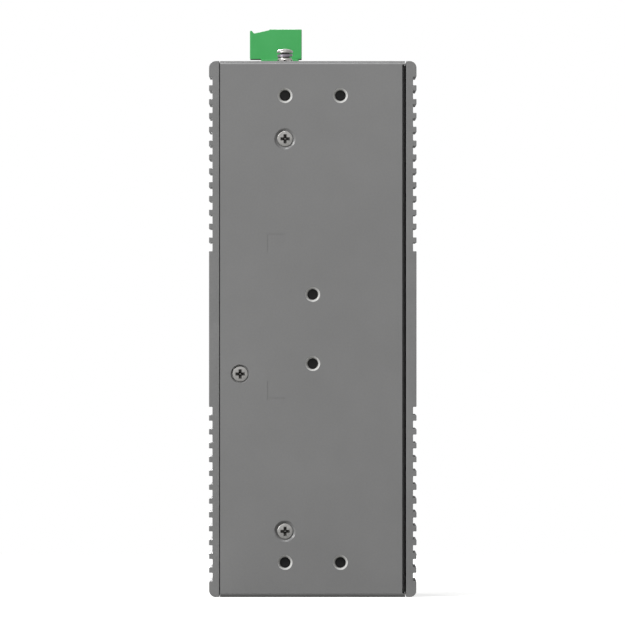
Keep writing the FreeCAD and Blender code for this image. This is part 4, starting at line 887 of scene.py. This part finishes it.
def makeJackWires(name, node, rows, look):
    shape = bmesh.new()
    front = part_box(node)[0].y * toMm
    wide, thick = look["wide"] / 2, look["thick"] / 2
    outline = [(-thick, -wide), (-thick, wide), (thick, wide), (thick, -wide)]
    for floor, tab, z in rows:
        for number in range(look["count"]):
            level = z + (number - (look["count"] - 1) / 2) * look["pitch"]
            points = [Vector((floor + tab * rise, front + run, level)) for rise, run in look["path"]]
            sweepInto(shape, points, outline)
    pieceFrom(shape, name, "goldFlash", "case", [node])


def jackRows(look):
    # floor, latch direction and height of every jack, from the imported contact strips
    low, high = (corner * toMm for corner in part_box("port_block_contacts"))
    middle = (low.z + high.z) / 2
    count = look["jacksInRow"]
    rows = []
    for tab, floor in ((1, high.x - look["strip"]), (-1, low.x + look["strip"])):
        rows += [(floor, tab, middle + look["jackPitch"] * (row - (count - 1) / 2)) for row in range(count)]
    return rows


makeJackWires("jackWires", "port_block_contacts", jackRows(jackWireLook), jackWireLook)
low, high = (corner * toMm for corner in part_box("console_port_contacts"))
makeJackWires(
    "consoleJackWires", "console_port_contacts", [(high.x, -1, (low.z + high.z) / 2)], jackWireLook
)
print("wires made")

# round cans with a rolled groove and a bare vented top
canLook = {
    "radius": 4.9, "segments": 48, "ventWide": 0.35, "ventDeep": 0.25, "ventReach": 3, "ventOver": 0.5,
    # (inset from the radius, height) by the board, and (inset, depth under the top) at the other end
    "low": ((0.6, 0.2), (0.1, 0.4), (0, 0.8), (0, 1.8), (0.35, 2.2), (0.35, 2.5), (0, 2.9)),
    "high": ((0, 0.7), (0.3, 0.25), (0.9, 0.15), (0.9, 1.0)),
    "lid": ((0.95, 1.1), (0.95, 0.3)), "lidTop": 0.25,
}


def makeCans(look):
    node = "power_capacitors"
    low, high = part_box(node)
    length = (high.x - low.x) * toMm
    radius, top = look["radius"], length - look["lidTop"]
    sleeve = [(0, look["low"][0][1])] + [(radius - inset, height) for inset, height in look["low"]]
    sleeve += [(radius - inset, length - under) for inset, under in look["high"]]
    sleeve += [(0, length - look["high"][-1][1])]
    lid = [(radius - inset, length - under) for inset, under in look["lid"]]
    lid = [(0, length - look["lid"][0][1])] + lid + [(0, top)]
    sleeves = bmesh.new()
    tops = bmesh.new()
    cutters = bmesh.new()
    for centre in screwCentres(node, 0):
        matrix = standing(centre, (-1, 0, 0))
        turnInto(sleeves, sleeve, matrix, look["segments"])
        turnInto(tops, lid, matrix, look["segments"])
        vent = (look["ventReach"], look["ventWide"] / 2, top - look["ventDeep"], length + look["ventOver"])
        slabInto(cutters, *vent, matrix)
    pieceFrom(sleeves, "canSleeves", "shrinkSleeve", "case", [node])
    pieceFrom(carve(tops, cutters), "canLids", "milledAluminium", "case")


makeCans(canLook)

# wound ring: a ferrite core inside turns of enamelled wire
chokeLook = {
    "middle": 6.0, "coreAcross": 1.45, "coreHigh": 1.4, "coreCorner": 0.8, "segments": 48,
    "wire": 0.42, "wireClear": 0.06, "wireSides": 6, "turns": 24, "steps": 14, "square": 1.25,
}


def makeChoke(look):
    node = "input_choke"
    low, high = (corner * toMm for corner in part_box(node))
    matrix = standing((low + high) / 2, (1, 0, 0))
    core = bmesh.new()
    across, up, corner = look["coreAcross"], look["coreHigh"], look["coreCorner"]
    outline = ((1, -corner), (1, corner), (corner, 1), (-corner, 1))
    outline += tuple((-x, -z) for x, z in outline) + outline[:1]
    profile = [(look["middle"] + x * across, z * up) for x, z in outline]
    turnInto(core, profile, matrix, look["segments"])
    bmesh.ops.remove_doubles(core, verts=core.verts, dist=meshLook["fineWeld"])
    pieceFrom(core, "chokeCore", "pressedFerrite", "case", [node])
    winding = bmesh.new()
    points = []
    total = look["turns"] * look["steps"]
    reach = look["wire"] + look["wireClear"]
    for step in range(total):
        round1 = 2 * math.pi * step / total
        round2 = 2 * math.pi * step / look["steps"]
        # a circle stretched and clipped to a square goes round the core
        out = (across + reach) * max(-1, min(1, look["square"] * math.cos(round2)))
        rise = (up + reach) * max(-1, min(1, look["square"] * math.sin(round2)))
        radius = look["middle"] + out
        points.append(matrix @ Vector((radius * math.cos(round1), radius * math.sin(round1), rise)))
    spread = [2 * math.pi * step / look["wireSides"] for step in range(look["wireSides"])]
    ring = [(look["wire"] * math.cos(turn), look["wire"] * math.sin(turn)) for turn in spread]
    sweepInto(winding, points, ring, True)
    pieceFrom(winding, "chokeWinding", "enamelledCopper", "case")


makeChoke(chokeLook)
print("power parts made")

# foam strips between the front panel's windows and the shields of the jacks
stripLook = {"clear": 0.28, "inset": 0.1, "deep": 0.8, "lap": 0.01}


def makeWindowStrips(look):
    shape = bmesh.new()
    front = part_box("front_panel")[0].y * toMm + look["inset"]
    for node in ("port_block_shield", "console_port_shield"):
        low, high = (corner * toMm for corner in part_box(node))
        half = look["clear"] / 2
        for x in (low.x - half, high.x + half):
            matrix = standing((x, front, (low.z + high.z) / 2), (0, 1, 0))
            slabInto(shape, half - look["lap"], (high.z - low.z) / 2 + look["clear"], 0, look["deep"], matrix)
        for z in (low.z - half, high.z + half):
            matrix = standing(((low.x + high.x) / 2, front, z), (0, 1, 0))
            slabInto(shape, (high.x - low.x) / 2 - look["lap"], half - look["lap"], 0, look["deep"], matrix)
    pieceFrom(shape, "windowStrips", "conductiveFoam", "case")


makeWindowStrips(stripLook)

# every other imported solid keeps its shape: finish, width of its eased edges, and shortest edge eased, in mm
easedLook = {
    "front_panel": ("powderCoat", 0.1, 0.9),
    "finned_side_left": ("coatedExtrusion", 0.16, 0.2),
    "finned_side_right": ("coatedExtrusion", 0.16, 0.25),
    "board_bracket_upper": ("brightZinc", 0.15, 0.6),
    "board_bracket_lower": ("brightZinc", 0.15, 0.6),
    "side_bracket": ("brightZinc", 0.15, 0.6),
    "main_board": ("solderResist", 0.08, 0.6),
    "port_block_housing": ("blackPolyester", 0.12, 0.6),
    "port_block_shield": ("tinPlate", 0.07, 0.6),
    "port_block_light_pipes": ("clearPolycarbonate", 0.15, 0.6),
    "console_port_housing": ("blackPolyester", 0.12, 0.6),
    "console_port_shield": ("tinPlate", 0.07, 0.6),
    "console_port_light_pipes": ("clearPolycarbonate", 0.15, 0.6),
    "module_cage": ("nickelPlate", 0.1, 0.6),
    "module_connectors": ("blackPolyester", 0.12, 0.6),
    "module_light_pipes": ("clearPolycarbonate", 0.2, 0.6),
    "module_gasket": ("conductiveFoam", 0.25, 0.6),
    "status_lamps": ("diffusingResin", 0.12, 0.6),
    "status_light_guide": ("clearPolycarbonate", 0.12, 0.6),
    "reset_switch": ("blackPolyester", 0.2, 0.6),
    "reset_button": ("blackPolyester", 0.2, 0.15),
    "terminal_header": ("greenPolyamide", 0.15, 0.6),
    "terminal_plug": ("greenPolyamide", 0.16, 0.35),
    "plug_clamps": ("nickelPlate", 0.12, 0.5),
    "plug_contacts": ("tinPlate", 0.08, 0.3),
    "header_pins": ("tinPlate", 0.15, 0.6),
    "ground_nut": ("brightZinc", 0.2, 1.0),
    "switch_chip": ("epoxyResin", 0.2, 0.6),
    "processor_chip": ("epoxyResin", 0.2, 0.6),
    "memory_chips": ("epoxyResin", 0.15, 0.6),
    "port_drivers": ("epoxyResin", 0.15, 0.6),
    "clock_crystals": ("nickelPlate", 0.35, 0.6),
    "thermal_pads": ("siliconePad", 0.25, 0.6),
    "heat_blocks": ("milledAluminium", 0.3, 0.6),
    "power_inductors": ("pressedFerrite", 0.6, 0.6),
    "power_transformer": ("windingTape", 0.8, 0.6),
    "alarm_relay": ("relayCase", 0.4, 0.6),
    "input_fuses": ("glazedCeramic", 0.4, 0.6),
}
for node, (finish, width, shortest) in easedLook.items():
    shape = cadShape(node)
    easeEdges(shape, width, shortest)
    words = node.split("_")
    name = words[0] + "".join(word.capitalize() for word in words[1:])
    pieceFrom(shape, name, finish, bodyOf[node], [node], meshLook["easedSmooth"], True)
print("eased pieces made:", len(easedLook))

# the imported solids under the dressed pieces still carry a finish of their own
for node, item in frame["nodes"].items():
    finish = easedLook[node][0] if node in easedLook else "dullZinc"
    item.data.materials.clear()
    item.data.materials.append(materials[finish])

# floor, light and camera
stageLook = {
    "halfWide": 1.4, "floorDrop": 0.02, "floorCells": 4, "floor": "#bcbcba", "floorRough": 0.6,
    "glowNear": 0.79, "glowFar": 0.98, "nearFrom": 0.25, "farFrom": 0.8,
    "ambient": 0.15, "keySize": 0.6, "keyDistance": 3.0, "keys": {
        # the photograph is lit from its upper left, and a lamp on the other side lights the front
        "railSideLamp": ((0.72, 0.56, 0.40), 79.0),
        "railTopLamp": ((0.12, 0.52, 0.84), 40.0),
        "portSideLamp": ((0.20, -0.88, 0.43), 82.0),
    },
    "lens": 1690.0, "sensor": 36.0, "clip": (1.0, 40.0),
    "photoWide": 0.1807, "aim": (0.00007, 0.055, 0.08228),
}


def whiteCard(look):
    # matt pale card that takes the shadow, and glows towards plain white for the camera alone
    material, tree = emptyMaterial("whiteCard")
    place = addNode(tree, "ShaderNodeTexCoord", {}, {})
    away = addNode(tree, "ShaderNodeVectorMath", {"operation": "LENGTH"}, {0: place.outputs["Object"]})
    level = addNode(
        tree,
        "ShaderNodeMapRange",
        {
            "interpolation_type": "SMOOTHSTEP",
            "From Min": look["nearFrom"],
            "From Max": look["farFrom"],
            "To Min": look["glowNear"],
            "To Max": look["glowFar"],
        },
        {"Value": away.outputs["Value"]},
    )
    path = addNode(tree, "ShaderNodeLightPath", {}, {})
    card = addNode(
        tree,
        "ShaderNodeBsdfDiffuse",
        {"Color": linearColour(look["floor"]), "Roughness": look["floorRough"]},
        {},
    )
    glow = addNode(tree, "ShaderNodeEmission", {}, {"Strength": level.outputs["Result"]})
    lit = addNode(tree, "ShaderNodeAddShader", {}, {0: card.outputs["BSDF"], 1: glow.outputs["Emission"]})
    seen = addNode(
        tree,
        "ShaderNodeMixShader",
        {},
        {0: path.outputs["Is Camera Ray"], 1: card.outputs["BSDF"], 2: lit.outputs["Shader"]},
    )
    addNode(tree, "ShaderNodeOutputMaterial", {}, {"Surface": seen.outputs["Shader"]})
    return material


def makeFloor(look):
    shape = bmesh.new()
    cells = look["floorCells"]
    bmesh.ops.create_grid(shape, x_segments=cells, y_segments=cells, size=look["halfWide"])
    bmesh.ops.translate(shape, vec=(0, 0, -look["floorDrop"] * mm), verts=shape.verts)
    mesh = bpy.data.meshes.new("floor")
    shape.to_mesh(mesh)
    shape.free()
    mesh.materials.append(whiteCard(look))
    floor = bpy.data.objects.new("floor", mesh)
    bpy.context.scene.collection.objects.link(floor)


def makeWorld(look):
    world = bpy.data.worlds.new("studio")
    bpy.context.scene.world = world
    world.use_nodes = True
    tree = world.node_tree
    tree.nodes.clear()
    path = addNode(tree, "ShaderNodeLightPath", {}, {})
    mirrored = addNode(
        tree,
        "ShaderNodeMath",
        {"operation": "MAXIMUM"},
        {0: path.outputs["Is Camera Ray"], 1: path.outputs["Is Glossy Ray"]},
    )
    shown = addNode(
        tree,
        "ShaderNodeMath",
        {"operation": "MAXIMUM"},
        {0: mirrored.outputs["Value"], 1: path.outputs["Is Transmission Ray"]},
    )
    level = addNode(
        tree,
        "ShaderNodeMapRange",
        {"To Min": look["ambient"], "To Max": 1.0},
        {"Value": shown.outputs["Value"]},
    )
    white = {"Color": (1, 1, 1, 1)}
    sky = addNode(tree, "ShaderNodeBackground", white, {"Strength": level.outputs["Result"]})
    addNode(tree, "ShaderNodeOutputWorld", {}, {"Surface": sky.outputs["Background"]})


def makeLamps(look):
    for name, (direction, power) in look["keys"].items():
        lamp = bpy.data.lights.new(name, "AREA")
        lamp.shape = "DISK"
        lamp.size = look["keySize"]
        lamp.energy = power
        away = Vector(direction).normalized()
        holder = bpy.data.objects.new(name, lamp)
        holder.location = Vector((0, 0, look["aim"][2])) + away * look["keyDistance"]
        holder.rotation_euler = away.to_track_quat("Z", "Y").to_euler()
        bpy.context.scene.collection.objects.link(holder)


def makeCamera(look):
    lens = bpy.data.cameras.new("camera")
    lens.lens = look["lens"]
    lens.sensor_width = look["sensor"]
    lens.clip_start, lens.clip_end = look["clip"]
    camera = bpy.data.objects.new("camera", lens)
    # the photograph is square on to the rail side, from so far that the fins hardly converge
    distance = look["photoWide"] * look["lens"] / look["sensor"]
    camera.location = Vector(look["aim"]) + Vector((0, distance, 0))
    camera.rotation_euler = (math.pi / 2, 0, math.pi)
    bpy.context.scene.collection.objects.link(camera)
    bpy.context.scene.camera = camera


makeFloor(stageLook)
makeWorld(stageLook)
makeLamps(stageLook)
makeCamera(stageLook)
bpy.context.scene.view_settings.view_transform = "Standard"
print("stage made")
